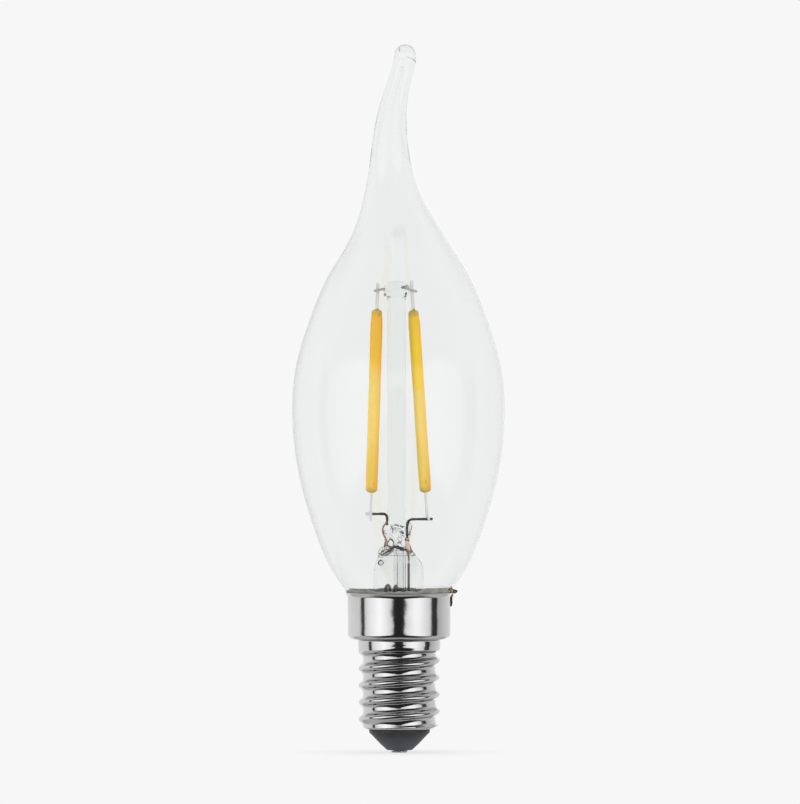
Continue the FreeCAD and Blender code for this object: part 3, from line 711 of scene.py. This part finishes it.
def make_stem():
    count = 96
    table = [(foot + up, half_x, half_y, x) for foot, x, rows in STEM for up, half_x, half_y in rows]
    table.reverse()
    zs = [row[0] for row in table]
    wide = spline(zs, [row[1] for row in table])
    deep = spline(zs, [row[2] for row in table])
    middle = spline(zs, [row[3] for row in table])
    rings = [pole(zs[-1] + 0.02, COLUMN_X)]
    steps = [zs[-1], zs[-1] - 0.04]
    z = zs[-1] - 0.08
    while z > zs[0]:
        steps.append(z)
        near = min(abs(z - (BUTTON_Z + 1)) / 3, abs(z - (PRESS_TOP - 3)) / 6)
        z -= 0.1 + 0.5 * min(1.0, max(0.0, near - 0.8))
    for z in steps:
        ring = circle(z, wide(z), middle(z), count, deep(z))
        pinched = ease(z, PRESS_TOP - 6.2, PRESS_TOP - 4.6)
        pinched *= 1 - ease(z, PRESS_TOP - 0.2, PRESS_TOP + 0.6)
        for point in ring:
            swell = 1 + 0.075 * pinched * lump(point[0] * 1.3, point[1] * 1.3, z * 1.1, 21.0)
            point[0] = middle(z) + (point[0] - middle(z)) * swell
            point[1] *= swell
        rings.append(ring)
    for r, down in [(7.45, 0.02), (NECK, 0.4), (NECK - 0.2, 0.8), (6.0, 0.8)]:
        rings.append(circle(SEAL_Z - down, r, GLASS_X, count))
    inner = [(SEAL_Z - 0.8, 6.0), (SEAL_Z - 0.1, 5.5), (SEAL_Z + 1.05, 4.7), (SEAL_Z + 2.6, 4.0)]
    inner += [(SEAL_Z + 4.2, 3.73), (RIM_Z + 1.0, 3.68)]
    cavity = spline([row[0] for row in inner], [row[1] for row in inner])
    for z in np.arange(SEAL_Z - 0.4, RIM_Z + 0.9, 0.15):
        rings.append(circle(z, cavity(z), GLASS_X, count))
    roof = PRESS_TOP - 4.75
    arch = 0.95
    low = np.arange(RIM_Z + 1.0, roof - arch, 0.15)
    for z in np.concatenate([low, np.linspace(roof - arch, roof - 0.01, 12)]):
        rise = max(0.0, (z - roof + arch) / arch)
        close = 1 - math.sqrt(1 - rise * rise)
        across = (wide(z) - 0.52) * (1 - close) + (PUMP_R + 0.06) * close
        through = (deep(z) - 0.5) * (1 - close) + (PUMP_R + 0.06) * close
        rings.append(circle(z, across, middle(z) * (1 - close), count, through))
    for r, z in [(PUMP_R + 0.06, roof + 0.02), (PUMP_R, roof - 0.1)]:
        rings.append(circle(z, r, 0, count))
    for z in np.arange(roof - 0.6, PUMP_FOOT_Z + 0.2, -0.5):
        rings.append(circle(z, PUMP_R, 0, count))
    for r, z in arc(0, PUMP_FOOT_Z, PUMP_R, 1.15, 0, -75, 8):
        rings.append(circle(z, r, 0, count))
    rings.append(pole(PUMP_FOOT_Z - 1.18))
    body = facing(skin(rings))
    folds = [strand(points, 0.4, 0.1, thick, 0.5, seed) for points, thick, seed in FOLDS]
    start = PUMP_FOOT_Z + 1.0
    bore = [pole(start)]
    bore += [circle(start + 0.5 * math.sin(a), PUMP_BORE * math.sin(a), 0, 48) for a in (0.4, 0.9, 1.4)]
    bore += [circle(z, PUMP_BORE, 0, 48) for z in np.arange(start + 0.7, roof + 0.3, 0.5)]
    bore += [circle(roof + 0.55, 0.5, 0, 48), circle(roof + 0.95, 0.38, -0.08, 48)]
    bore += [circle(roof + 1.25, 0.2, -0.2, 48), pole(roof + 1.38, -0.25)]
    hollows = [facing(skin(bore), False)]
    for x, y, z, sx, sy, sz, seed in BUBBLES:
        hollows.append(blob((x, y, z), (sx, sy, sz), 20, 0.25, seed, False))
    piece("glass_stem", [body] + folds + hollows, stem_glass,
          ["stem_flare", "stem_column", "exhaust_tube"])


# Stretches from the top down: height each is measured from, middle, then heights, half widths and half depths
STEM = [
    (BUTTON_Z + BUTTON_H, COLUMN_X, [
        (-0.02, 0.55, 0.55), (-0.12, 1.05, 1.05), (-0.35, 1.55, 1.5), (-0.75, 1.98, 1.9),
        (-1.3, BUTTON, 2.1)]),
    (BUTTON_Z, COLUMN_X, [
        (0.95, 2.1, 2.05), (0.45, 1.85, 1.82), (0.0, 1.62, 1.6), (-0.6, ROD, ROD), (-1.6, ROD, ROD),
        (-5.0, ROD, ROD), (-12.0, ROD + 0.02, ROD), (-19.0, ROD - 0.01, ROD), (-26.0, ROD + 0.01, ROD)]),
    (PRESS_TOP, COLUMN_X, [(6.0, ROD, ROD), (2.6, ROD, ROD), (1.2, ROD, ROD), (0.45, 1.58, 1.54)]),
    (PRESS_TOP, PRESS_X, [(0.1, 1.9, 1.52), (-0.25, 2.3, 1.5), (-0.7, 2.48, 1.42)]),
    (PRESS_TOP, PRESS_X - 0.05, [(-1.8, 2.3, 1.25)]),
    (PRESS_TOP, PRESS_X, [(-3.2, 2.1, 1.2), (-4.3, 2.3, 1.35), (-5.1, 2.75, 1.75)]),
    (PRESS_TOP, PRESS_X + 0.1, [(-5.9, 3.3, 2.4)]),
    (PRESS_TOP, GLASS_X, [(-6.8, 3.8, 3.1), (-7.8, 4.1, 3.75), (-8.9, 4.18, 4.1)]),
    (RIM_Z, GLASS_X, [(1.0, 4.2, 4.2)]),
    (SEAL_Z, GLASS_X, [
        (4.2, 4.25, 4.25), (2.6, 4.55, 4.55), (1.2, 5.3, 5.3), (0.35, 6.3, 6.3), (0.05, 6.9, 6.9)]),
]

# Molten folds on the press: points, radius and seed
FOLDS = [
    ([(-3.5, -2.1, 33.4), (-2.9, -1.9, 34.2), (-2.0, -1.7, 34.2), (-1.3, -1.6, 33.6)], 0.17, 41.0),
    ([(-3.4, -2.2, 32.9), (-2.7, -2.2, 33.5), (-2.3, -2.0, 33.0), (-2.9, -2.2, 32.6), (-3.4, -2.2, 32.8)],
     0.16, 42.0),
    ([(-3.5, -2.3, 31.7), (-3.2, -2.4, 32.2), (-2.7, -2.4, 31.9), (-3.1, -2.4, 31.4), (-3.5, -2.3, 31.6)],
     0.15, 43.0),
    ([(-1.9, -1.6, 35.9), (-1.2, -1.6, 36.1), (-0.6, -1.6, 35.2), (-0.5, -1.5, 34.4)], 0.16, 44.0),
    ([(0.2, -1.5, 37.6), (-0.6, -1.6, 37.3), (0.4, -1.6, 36.9), (0.9, -1.5, 36.0)], 0.2, 45.0),
    ([(-0.6, -1.5, 36.9), (0.0, -1.55, 36.4), (-0.2, -1.5, 35.6)], 0.2, 46.0),
]

# Bubbles: place, half sizes and seed
BUBBLES = [
    (-2.5, -0.35, PRESS_TOP - 4.7, 0.34, 0.3, 0.2, 1.0),
    (-2.15, -0.9, PRESS_TOP - 5.1, 0.22, 0.16, 0.16, 2.0),
    (-0.6, 0.4, PRESS_TOP - 1.0, 0.6, 0.3, 0.2, 4.0),
    (0.35, -0.5, PRESS_TOP - 1.9, 0.3, 0.3, 0.5, 5.0),
    (-1.2, -0.5, PRESS_TOP - 0.6, 0.34, 0.2, 0.16, 6.0),
    (0.1, -0.6, PRESS_TOP - 3.0, 0.34, 0.3, 0.55, 9.0),
    (-0.55, -0.3, PRESS_TOP - 1.5, 0.2, 0.2, 0.26, 10.0),
    (1.1, -0.2, PRESS_TOP - 1.2, 0.3, 0.3, 0.7, 11.0),
    (-1.5, 0.1, PRESS_TOP - 1.6, 0.18, 0.2, 0.6, 12.0),
    (-2.2, -0.5, BUTTON_Z + 0.5, 0.16, 0.16, 0.2, 7.0),
    (1.0, -0.6, BUTTON_Z + 0.55, 0.18, 0.14, 0.22, 8.0),
]

make_stem()


# Filaments


def filament_frame(angles):
    """Foot and axes of a filament: out from the column, across, and up the rod."""
    def at(radius, angle, z):
        a = math.radians(angle)
        return np.array([COLUMN_X + radius * math.cos(a), radius * math.sin(a), z])

    foot = at(FOOT_R, angles[0], FIL_FOOT_Z)
    top = at(TOP_R, angles[1], FIL_FOOT_Z + FIL_LENGTH)
    rise = (top - foot) / np.linalg.norm(top - foot)
    middle = (top + foot) / 2
    outward = np.array([middle[0] - COLUMN_X, middle[1], 0.0])
    across = np.cross(rise, outward)
    across /= np.linalg.norm(across)
    out = np.cross(across, rise)
    return foot, out, across, rise


def in_world(frame_axes):
    foot, out, across, rise = frame_axes
    m = Matrix.Identity(4)
    for i, axis in enumerate((out, across, rise)):
        for k in range(3):
            m[k][i] = axis[k]
    for k in range(3):
        m[k][3] = foot[k] * MM
    return m


def section(half_x, half_y, z, count, power=2.6):
    angles = np.linspace(0, FULL, count, endpoint=False)
    c, s = np.cos(angles), np.sin(angles)
    x = half_x * np.sign(c) * np.abs(c) ** (2 / power)
    y = half_y * np.sign(s) * np.abs(s) ** (2 / power)
    return np.stack([x, y, np.full(count, z)], 1)


def make_filament(side, angles, coat, seed):
    axes = filament_frame(angles)
    place = in_world(axes)
    count = 40
    rings = []
    for k in range(10):
        a = math.pi / 2 * k / 9
        rings.append((FIL_DOME * (1 - math.cos(a)), max(0.02, math.sin(a) ** 0.8)))
    for z in np.linspace(FIL_DOME, FIL_LENGTH - FIL_DOME, 120)[1:-1]:
        rings.append((z, 1.0))
    for k in range(10):
        a = math.pi / 2 * (9 - k) / 9
        rings.append((FIL_LENGTH - FIL_DOME * (1 - math.cos(a)), max(0.02, math.sin(a) ** 0.8)))
    made = [np.array([[0.0, 0.0, 0.0]])]
    for z, s in rings:
        swell = 1 + 0.035 * lump(0, 0, z * 0.35, seed) + 0.02 * lump(0, 1, z * 1.3, seed)
        neck = 1.06 - 0.13 * ease(z, FIL_LENGTH - 2.6, FIL_LENGTH - 0.6) - 0.04 * (1 - ease(z, 0.6, 2.6))
        ring = section(FIL_WIDE / 2 * s * swell * neck, FIL_THICK / 2 * s * swell * neck, z, count)
        ring[:, 0] += 0.03 * lump(0, 2, z * 0.2, seed)
        made.append(ring)
    made.append(np.array([[0.0, 0.0, FIL_LENGTH]]))
    piece(side + "_filament_silicone", [facing(skin(made))], coat,
          [side + "_filament_coating"], None, place)
    tab_end = FIL_LENGTH + TAB_TOP
    longer = 0.6 if side == "right" else 0.0
    for end, low, high, weld, half in (
            ("top", FIL_LENGTH - 1.4, tab_end + longer, tab_end - WELD_FROM_END, 0.3),
            ("foot", -TAB_FOOT, 1.4, -TAB_FOOT + 1.4, 0.22)):
        tab = []
        zs = np.linspace(low, high, 26)
        for z in zs:
            narrow = 1 - 0.28 * (1 - ease(min(z - low, high - z), 0, 0.3))
            press = 1 + 0.22 * math.exp(-((z - weld) / 0.35) ** 2)
            tab.append(section(half * narrow * press, 0.1 / press, z, 20, 5.0))
        tab = [pole(zs[0])] + tab + [pole(zs[-1])]
        piece(side + "_" + end + "_tab", [facing(skin(tab))], tab_steel,
              [side + "_filament_" + end + "_tab"], 50, place)
    return axes


def spots(name, axes, material, places):
    """Small lumps on the front of a filament: sideways, up and depth, half sizes and seed."""
    foot, out, across, rise = axes
    front = across if across[1] < 0 else -across
    lumps = []
    for x, z, deep, size, seed in places:
        lumps.append(blob(tuple(foot + rise * z + out * x + front * deep), size, 16, 0.5, seed))
    piece(name, lumps, material)


left_axes = make_filament("left", LEFT_ANGLES, left_phosphor, 1.0)
right_axes = make_filament("right", RIGHT_ANGLES, right_phosphor, 2.0)
ROOT_Z = FIL_LENGTH - 0.12
ROOT_SIZE = (0.26, 0.26, 0.24)
spots("left_tab_root", left_axes, tab_root, [(0.05, ROOT_Z, 0.12, ROOT_SIZE, 4.0)])
spots("right_tab_root", right_axes, tab_root, [(0.0, ROOT_Z, 0.12, ROOT_SIZE, 5.0)])
spots("left_coat_specks", left_axes, coat_speck, [
    (0.05, 1.5, 0.68, (0.15, 0.14, 0.42), 6.0), (0.1, 29.7, 0.62, (0.3, 0.12, 0.22), 9.0)])
spots("right_coat_specks", right_axes, coat_speck, [
    (-0.2, 1.7, 0.68, (0.17, 0.14, 0.4), 7.0), (0.35, 0.8, 0.56, (0.2, 0.14, 0.2), 8.0),
    (-0.15, 29.7, 0.6, (0.28, 0.12, 0.22), 10.0)])


# Wires


def on_tab(axes, z, front):
    foot, out, across, rise = axes
    point = foot + rise * ((z - foot[2]) / rise[2])
    side = 1 if (across[1] < 0) == front else -1
    point = point + across * side * 0.3
    return np.array([point[0], point[1], z])


def past(start, weld, over):
    along = np.array([weld[0] - start[0], weld[1] - start[1], 0.0])
    return weld + along / np.linalg.norm(along) * over


weld_z = FIL_FOOT_Z + FIL_LENGTH + TAB_TOP - WELD_FROM_END
button_mid = np.array([COLUMN_X, 0.0, BUTTON_Z + BUTTON_H / 2])
ends = []
for axes in (left_axes, right_axes):
    weld = on_tab(axes, weld_z, True)
    towards = np.array([weld[0] - button_mid[0], weld[1] - button_mid[1], 0.0])
    leave = button_mid + towards / np.linalg.norm(towards) * 2.4
    ends.append((leave, past(leave, weld, 0.75)))
hooks = [
    strand([ends[0][1], ends[0][0], button_mid + np.array([-1.7, 0.2, -0.1])], 0.6, 0.15, 0.2, 0.15, 2.0),
    strand([ends[1][1], ends[1][0], button_mid + np.array([0.85, -1.3, 0.2])], 0.6, 0.15, 0.2, 0.15, 3.0),
    blob((COLUMN_X - 1.95, -0.4, BUTTON_Z + 0.42), (0.2, 0.2, 0.26), 16, 0.4, 1.0),
    blob((COLUMN_X + 1.45, -0.8, BUTTON_Z + 0.55), (0.22, 0.2, 0.4), 16, 0.4, 2.0),
]
piece("bridge_hook", hooks, nickel_wire, ["bridge_wire"])

left_weld = on_tab(left_axes, PRESS_TOP + 1.3, False)
right_weld = on_tab(right_axes, PRESS_TOP + 0.4, True)
LEFT_PLACE = (-2.05, -0.9)
RIGHT_PLACE = (1.25, -0.85)
LEAD_R = 0.215
left_corner = np.array([*LEFT_PLACE, PRESS_TOP + 1.3])
left_lead = [(*LEFT_PLACE, PRESS_TOP - 0.45), left_corner, past(left_corner, left_weld, 0.3)]
right_corner = np.array([*RIGHT_PLACE, PRESS_TOP + 0.4])
right_lead = [(*RIGHT_PLACE, PRESS_TOP - 2.9), right_corner, past(right_corner, right_weld, 0.75)]
left_nugget = past(left_corner, left_weld, 0.45)
welds = [blob(tuple(w), (0.42, 0.26, 0.3), 16, 0.35, k) for k, w in ((31.0, left_nugget), (32.0, right_weld))]
piece("lead_welds", welds, tab_steel)
piece("left_lead", [strand(left_lead, 1.2, 0.2, LEAD_R, 0.2, 4.0)], dark_wire,
      ["left_inner_lead"])
piece("right_lead", [strand(right_lead, 1.2, 0.2, LEAD_R, 0.2, 5.0)], dark_wire,
      ["right_inner_lead"])

LEFT_TAIL = (-0.9, 1.9)
RIGHT_TAIL = (1.55, 0.62)
SPLICE_Z = RIM_Z + 4.73
lx, ly = LEFT_PLACE
left_seal = [
    (lx, ly, PRESS_TOP + 0.1), (lx - 0.8, ly - 0.5, PRESS_TOP - 1.1), (lx - 0.7, ly - 0.5, PRESS_TOP - 2.1),
    (lx - 0.05, ly - 0.5, PRESS_TOP - 3.0), (lx - 0.1, ly - 0.4, PRESS_TOP - 3.95),
    (lx + 0.6, ly + 0.4, PRESS_TOP - 4.1), (*LEFT_TAIL, RIM_Z + 6.0), (*LEFT_TAIL, SPLICE_Z),
]
right_seal = [
    (*RIGHT_PLACE, PRESS_TOP - 2.9), (RIGHT_PLACE[0] + 0.15, RIGHT_PLACE[1], PRESS_TOP - 4.4),
    (*RIGHT_TAIL, PRESS_TOP - 6.4), (*RIGHT_TAIL, SPLICE_Z),
]
knot = blob((lx - 0.05, ly - 0.5, PRESS_TOP - 3.6), (0.24, 0.22, 0.42), 20, 0.4, 12.0)
piece("left_seal", [strand(left_seal, 0.9, 0.2, 0.115, 0.2, 6.0)], thin_copper,
      ["left_seal_wire"])
piece("left_seal_knot", [knot], copper_clad)


def sleeve(p):
    """The sealed stretch is thicker than the tail below it."""
    return 0.68 + 0.85 * ease(p[2], 31.6, 34.4)


piece("right_seal", [strand(right_seal, 0.5, 0.2, 0.25, 0.15, 7.0, sleeve)], pink_sleeve,
      ["right_seal_wire"])
strokes = [
    # The first two strokes are painted reflection: dark wires across the press where the glass refracts the
    # dark leads.
    strand([(-2.3, -0.9, 33.3), (-1.5, -1.2, 33.75), (-0.75, -1.25, 34.4)], 0.3, 0.12, 0.25, 0.6, 14.0),
    strand([(-0.45, -1.3, 34.35), (0.6, -1.15, 33.85), (2.0, 0.1, 33.6)], 0.3, 0.12, 0.29, 0.6, 15.0),
    blob((RIGHT_PLACE[0], RIGHT_PLACE[1] - 0.1, PRESS_TOP - 3.0), (0.42, 0.3, 0.3), 20, 0.4, 16.0),
]
for middle, half, top in ((-1.9, 0.34, RIM_Z + 1.2), (-0.62, 0.22, RIM_Z + 1.1)):
    rise = [(-half, RIM_Z - 2.0), (-half, top - 0.2), (0.0, top + 0.25)]
    fall = [(half, top - 0.2), (half, RIM_Z - 2.0)]
    loop_path = [(middle + x, -1.6, z) for x, z in rise + fall]
    strokes.append(strand(loop_path, 0.4, 0.15, 0.22, 0.5, middle))
piece("press_wire_ends_and_painted_refraction", strokes, dark_wire)
# painted shade: grey strokes lying along the press folds where the glass bends the light dark
fold_shade_strokes = [
    ([(-1.95, -1.35, 35.1), (-1.45, -1.5, 35.75), (-0.95, -1.4, 35.1), (-1.0, -1.3, 34.4),
      (-1.7, -1.2, 34.1)], 0.12, 13.0),
    ([(-0.8, -1.45, 37.9), (-0.4, -1.5, 38.0), (-0.1, -1.45, 37.7)], 0.12, 51.0),
    ([(0.15, -1.45, 37.8), (0.45, -1.5, 37.6), (0.75, -1.45, 37.7)], 0.13, 57.0),
    ([(0.0, -1.42, 36.9), (0.3, -1.42, 36.75), (0.55, -1.4, 36.6)], 0.12, 52.0),
    ([(-1.4, -1.3, 37.7), (-1.05, -1.35, 37.15), (-1.2, -1.3, 36.6)], 0.1, 53.0),
    ([(-3.4, -2.3, 33.3), (-2.8, -2.2, 33.0), (-2.4, -2.1, 33.4), (-2.0, -1.9, 33.2)], 0.13, 54.0),
    ([(-2.5, -2.0, 32.9), (-1.8, -1.9, 33.1), (-1.1, -1.7, 33.8)], 0.12, 55.0),
    ([(-3.5, -2.4, 31.7), (-3.3, -2.45, 32.1), (-2.85, -2.45, 32.1), (-2.65, -2.4, 31.7), (-2.9, -2.4, 31.35),
      (-3.3, -2.4, 31.35), (-3.5, -2.4, 31.65)], 0.075, 56.0),
]
piece("pinch_painted_shade_strokes", [strand(p, 0.3, 0.1, r, 0.7, s) for p, r, s in fold_shade_strokes], pinch_painted_shade)


# Cement, rim solder, flux and the drip on the skirt


def crumb(angle, r, z):
    """Rough edge of the cement, raised at the front left and most at the front right."""
    x, y = r * math.cos(angle), r * math.sin(angle)
    turn = math.degrees(angle)
    left = ease(turn, 188, 205) * (1 - ease(turn, 234, 244))
    right = ease(turn, 290, 300) * (1 - ease(turn, 326, 340))
    raised = (0.15 + 0.3 * left + 0.55 * right) * ease(z, RIM_Z - 1.5, RIM_Z)
    rough = 0.12 * lump(x * 1.1, y * 1.1, z, 1.0) + 0.08 * lump(x * 3, y * 3, z, 3.0)
    return 0.05 * lump(x, y, z, 2.0) + 0.75 * raised, rough + raised


# Radius and height above the rim
ring_profile = [(7.62, -3.5), (8.3, -3.5), (8.3, -1.0), (8.45, -0.5), (8.68, -0.12), (8.8, 0.04)]
ring_profile += [(8.74, 0.16), (8.62, 0.12), (8.45, -0.15), (8.15, -0.5), (7.75, -1.3), (7.62, -2.0)]
ring_shell = lathe([(r, RIM_Z + h) for r, h in ring_profile], count=180, bumps=crumb, loop=True)
piece("cement_ring", [facing(ring_shell)], cement, ["capping_cement"], 60)

solder_parts = [
    blob((9.1, 0.0, RIM_Z + 0.12), (0.5, 0.6, 0.32), 28, 0.3, 2.0),
    blob((8.75, -0.35, RIM_Z + 0.2), (0.4, 0.5, 0.22), 24, 0.3, 4.0),
]
piece("rim_solder_drop", solder_parts, rim_solder, ["rim_solder"])
tail_path = [(8.1, -0.2, RIM_Z + 0.35), (8.9, -0.3, RIM_Z + 0.42), (9.55, -0.25, RIM_Z + 0.2)]
tail = wire(rounded_path(tail_path, 0.3), 0.19, 0.4, 1.0)
drip = blob((8.62, -1.15, RIM_Z - 1.5), (0.22, 0.3, 0.85), 24, 0.35, 9.0)
piece("scorched_wire_end", [tail, drip], scorch)
film = blob((8.5, -1.9, RIM_Z + 0.3), (0.42, 1.3, 0.22), 28, 0.4, 8.0)
streak = blob((8.7, -1.1, RIM_Z - 0.35), (0.26, 0.3, 0.5), 20, 0.35, 10.0)
piece("flux_film", [film, streak], flux)

# CAD nodes that stay as they are, with their own finish
FINISHES = [
    (nickel_wire, ["shell_wire"]),
    (dark_wire, ["centre_wire", "left_outer_lead", "right_outer_lead"]),
    (board, ["driver_board"]),
    (chip_plastic, ["bridge_rectifier", "driver_chip"]),
    (can, ["smoothing_capacitor"]),
    (resistor, ["fuse_resistor"]),
    (ceramic, ["left_filament_strip", "right_filament_strip"]),
    (crystal, ["left_filament_chips", "right_filament_chips"]),
]
for finish, node_names in FINISHES:
    for node_name in node_names:
        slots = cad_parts[node_name].data.materials
        for index in range(len(slots)):
            slots[index] = finish
        if not len(slots):
            slots.append(finish)


# Floor, lamps, surroundings and camera

BACK = 0.93
ROOM = 0.62
SHADOW_SHARE = 0.75

# What metal mirrors, by azimuth in degrees from the front: level inside the bright panels, sine of the
# elevation at their foot and at their top, and level outside them. The gap in the middle stays dark at
# eye level and is closed by a bright strip above.
PANELS = [
    (-180, 0.84), (-160, 0.76), (-135, 0.72), (-100, 0.66), (-96, 0.4), (-94, 0.03), (-86, 0.03), (-83, 0.7),
    (-70, 0.92), (-45, 1.17), (-33, 1.02), (-22, 0.84), (-15, 0.72), (0, 0.75), (13, 0.8), (23, 0.96),
    (34, 1.11), (46, 1.08), (66, 0.8), (74, 0.66), (77, 0.04), (92, 0.02), (96, 0.45), (122, 0.62),
    (150, 0.74), (160, 0.95), (180, 1.05),
]
PANEL_FOOT = [
    (-180, -0.44), (-100, -0.44), (-84, -0.34), (-70, -0.5), (-50, -0.46), (-32, -0.3), (-18, -0.14),
    (-13, -0.07), (-10.5, 0.08), (0, 0.17), (7.5, 0.08), (10, -0.07), (16, -0.14), (30, -0.3), (48, -0.46),
    (68, -0.5), (80, -0.34), (100, -0.44), (180, -0.44),
]
PANEL_TOP = [
    (-180, 0.44), (-100, 0.44), (-86, 0.22), (-74, 0.36), (-50, 0.46), (-15, 0.4), (0, 0.36), (15, 0.4),
    (50, 0.46), (70, 0.36), (84, 0.22), (100, 0.44), (180, 0.44),
]
OUTSIDE = [
    (-180, 0.34), (-140, 0.42), (-100, 0.5), (-72, 0.12), (-50, 0.018), (50, 0.018), (72, 0.12), (100, 0.5),
    (140, 0.42), (180, 0.34),
]
# Outside the panels, straight up and straight down meet one level: half of 1 + sine of the elevation, share
POLAR = [(0.0, 1.0), (0.03, 1.0), (0.09, 0.0), (0.91, 0.0), (0.97, 1.0), (1.0, 1.0)]
POLAR_LEVEL = 0.36


def math_node(tree, operation, first, second=None, third=None):
    """Result of an operation on sockets or numbers."""
    node = add(tree, "ShaderNodeMath", operation=operation)
    for index, value in enumerate((first, second, third)):
        if value is None:
            continue
        if isinstance(value, (int, float)):
            node.inputs[index].default_value = value
        else:
            tree.links.new(value, node.inputs[index])
    return node.outputs[0]


def make_floor():
    mesh = bpy.data.meshes.new("floor")
    rings = [pole(0.0)] + [circle(0.0, r, 0, 96) for r in (10, 20, 40, 60, 90, 140, 220, 320)]
    verts, faces = skin(rings)
    mesh.from_pydata((verts * MM).tolist(), [], [tuple(reversed(f)) for f in faces])
    material = bpy.data.materials.new("floor")
    material.use_nodes = True
    tree = material.node_tree
    tree.nodes.clear()
    output = add(tree, "ShaderNodeOutputMaterial")
    diffuse = add(tree, "ShaderNodeBsdfDiffuse")
    fill(diffuse, {"Color": (*grey(0.86), 1)})
    glow = add(tree, "ShaderNodeEmission")
    fill(glow, {"Color": (1, 1, 1, 1)})
    coord = add(tree, "ShaderNodeTexCoord")
    length = add(tree, "ShaderNodeVectorMath", operation="LENGTH")
    tree.links.new(coord.outputs["Object"], length.inputs[0])
    far = map_range(tree, length.outputs["Value"], 0.002, 0.022, SHADOW_SHARE, 1.0, smooth=True)
    path = add(tree, "ShaderNodeLightPath")
    seen = math_node(tree, "MAXIMUM", path.outputs["Is Camera Ray"], path.outputs["Is Transmission Ray"])
    scattered = math_node(tree, "GREATER_THAN", path.outputs["Diffuse Depth"], 0.5)
    tree.links.new(math_node(tree, "MULTIPLY_ADD", scattered, 0.6, BACK), glow.inputs["Strength"])
    factor = math_node(tree, "MULTIPLY", seen, far)
    mix = add(tree, "ShaderNodeMixShader")
    tree.links.new(factor, mix.inputs[0])
    tree.links.new(diffuse.outputs[0], mix.inputs[1])
    tree.links.new(glow.outputs[0], mix.inputs[2])
    tree.links.new(mix.outputs[0], output.inputs["Surface"])
    mesh.materials.append(material)
    floor = bpy.data.objects.new("floor", mesh)
    bpy.context.scene.collection.objects.link(floor)
    floor.visible_glossy = False


make_floor()


def make_world():
    world = bpy.data.worlds.new("studio")
    bpy.context.scene.world = world
    world.use_nodes = True
    tree = world.node_tree
    tree.nodes.clear()
    output = add(tree, "ShaderNodeOutputWorld")
    back = add(tree, "ShaderNodeBackground")
    coord = add(tree, "ShaderNodeTexCoord")
    split = add(tree, "ShaderNodeSeparateXYZ")
    tree.links.new(coord.outputs["Generated"], split.inputs["Vector"])
    front = math_node(tree, "MULTIPLY", split.outputs["Y"], -1.0)
    turn = math_node(tree, "ARCTAN2", split.outputs["X"], front)
    share = math_node(tree, "MULTIPLY_ADD", turn, 1 / FULL, 0.5)
    upright = math_node(tree, "MULTIPLY_ADD", split.outputs["Z"], 0.5, 0.5)

    def by_azimuth(table):
        return ramp(tree, share, [(0.5 + degrees / 360, grey(value)) for degrees, value in table])

    def half_way(table):
        return [(degrees, 0.5 + value / 2) for degrees, value in table]

    over = math_node(tree, "SUBTRACT", upright, by_azimuth(half_way(PANEL_FOOT)))
    under = math_node(tree, "SUBTRACT", by_azimuth(half_way(PANEL_TOP)), upright)
    inside = math_node(tree, "MULTIPLY", math_node(tree, "MINIMUM", over, under), 22.0)
    panel = add(tree, "ShaderNodeClamp")
    tree.links.new(inside, panel.inputs["Value"])
    polar = ramp(tree, upright, [(place, grey(value)) for place, value in POLAR])
    outside = mixed(tree, polar, by_azimuth(OUTSIDE), POLAR_LEVEL)
    shiny = mixed(tree, panel.outputs["Result"], outside, by_azimuth(PANELS))

    # what is mirrored meets the panels, darker the second time outside glass; the rest meets an even level
    path = add(tree, "ShaderNodeLightPath")
    twice = math_node(tree, "GREATER_THAN", path.outputs["Glossy Depth"], 1.5)
    outside_glass = math_node(tree, "LESS_THAN", path.outputs["Transmission Depth"], 0.5)
    less = math_node(tree, "MULTIPLY_ADD", math_node(tree, "MULTIPLY", twice, outside_glass), -0.62, 1.0)
    bounced = math_node(tree, "GREATER_THAN", path.outputs["Glossy Depth"], 0.5)
    room = mixed(tree, bounced, ROOM, scaled(tree, shiny, less))

    # the camera and rays through glass meet the pale backdrop, after a mirroring not quite all of it
    kept = math_node(tree, "MULTIPLY_ADD", bounced, -0.12, 1.0)
    through = math_node(tree, "MULTIPLY", path.outputs["Is Transmission Ray"], kept)
    seen = math_node(tree, "MAXIMUM", path.outputs["Is Camera Ray"], through)

    # after a matt surface the backdrop is stronger
    scattered = math_node(tree, "GREATER_THAN", path.outputs["Diffuse Depth"], 0.5)
    pale = math_node(tree, "MULTIPLY_ADD", scattered, 0.68, BACK)
    tree.links.new(mixed(tree, seen, room, pale), back.inputs["Color"])
    tree.links.new(back.outputs[0], output.inputs["Surface"])


make_world()


def lamp(name, place, size, power):
    data = bpy.data.lights.new(name, "AREA")
    data.shape = "RECTANGLE"
    data.size, data.size_y = size
    data.energy = power
    obj = bpy.data.objects.new(name, data)
    bpy.context.scene.collection.objects.link(obj)
    obj.location = place
    aim = Vector((0, 0, 0.05)) - Vector(place)
    obj.rotation_mode = "QUATERNION"
    obj.rotation_quaternion = aim.to_track_quat("-Z", "Y")
    obj.visible_camera = False
    obj.visible_glossy = False
    obj.visible_transmission = False


lamp("key_left", (-0.8, -0.7, 0.6), (0.5, 0.7), 3.6)
lamp("fill_right", (0.85, -0.6, 0.45), (0.5, 0.7), 2.6)

camera_data = bpy.data.cameras.new("camera")
camera = bpy.data.objects.new("camera", camera_data)
bpy.context.scene.collection.objects.link(camera)
bpy.context.scene.camera = camera
DISTANCE = 1500.0
PX_PER_MM = 6.0
FRAME_PX = 804
AIM_X = 0.0833
AIM_Z = 58.417
SENSOR = 36.0
camera_data.lens = SENSOR * DISTANCE * PX_PER_MM / FRAME_PX
camera_data.clip_start = 0.05
camera_data.clip_end = 10.0
camera.location = (AIM_X * MM, -DISTANCE * MM, AIM_Z * MM)
camera.rotation_mode = "QUATERNION"
camera.rotation_quaternion = Vector((0, 1, 0)).to_track_quat("-Z", "Y")
bpy.context.scene.view_settings.view_transform = "Standard"
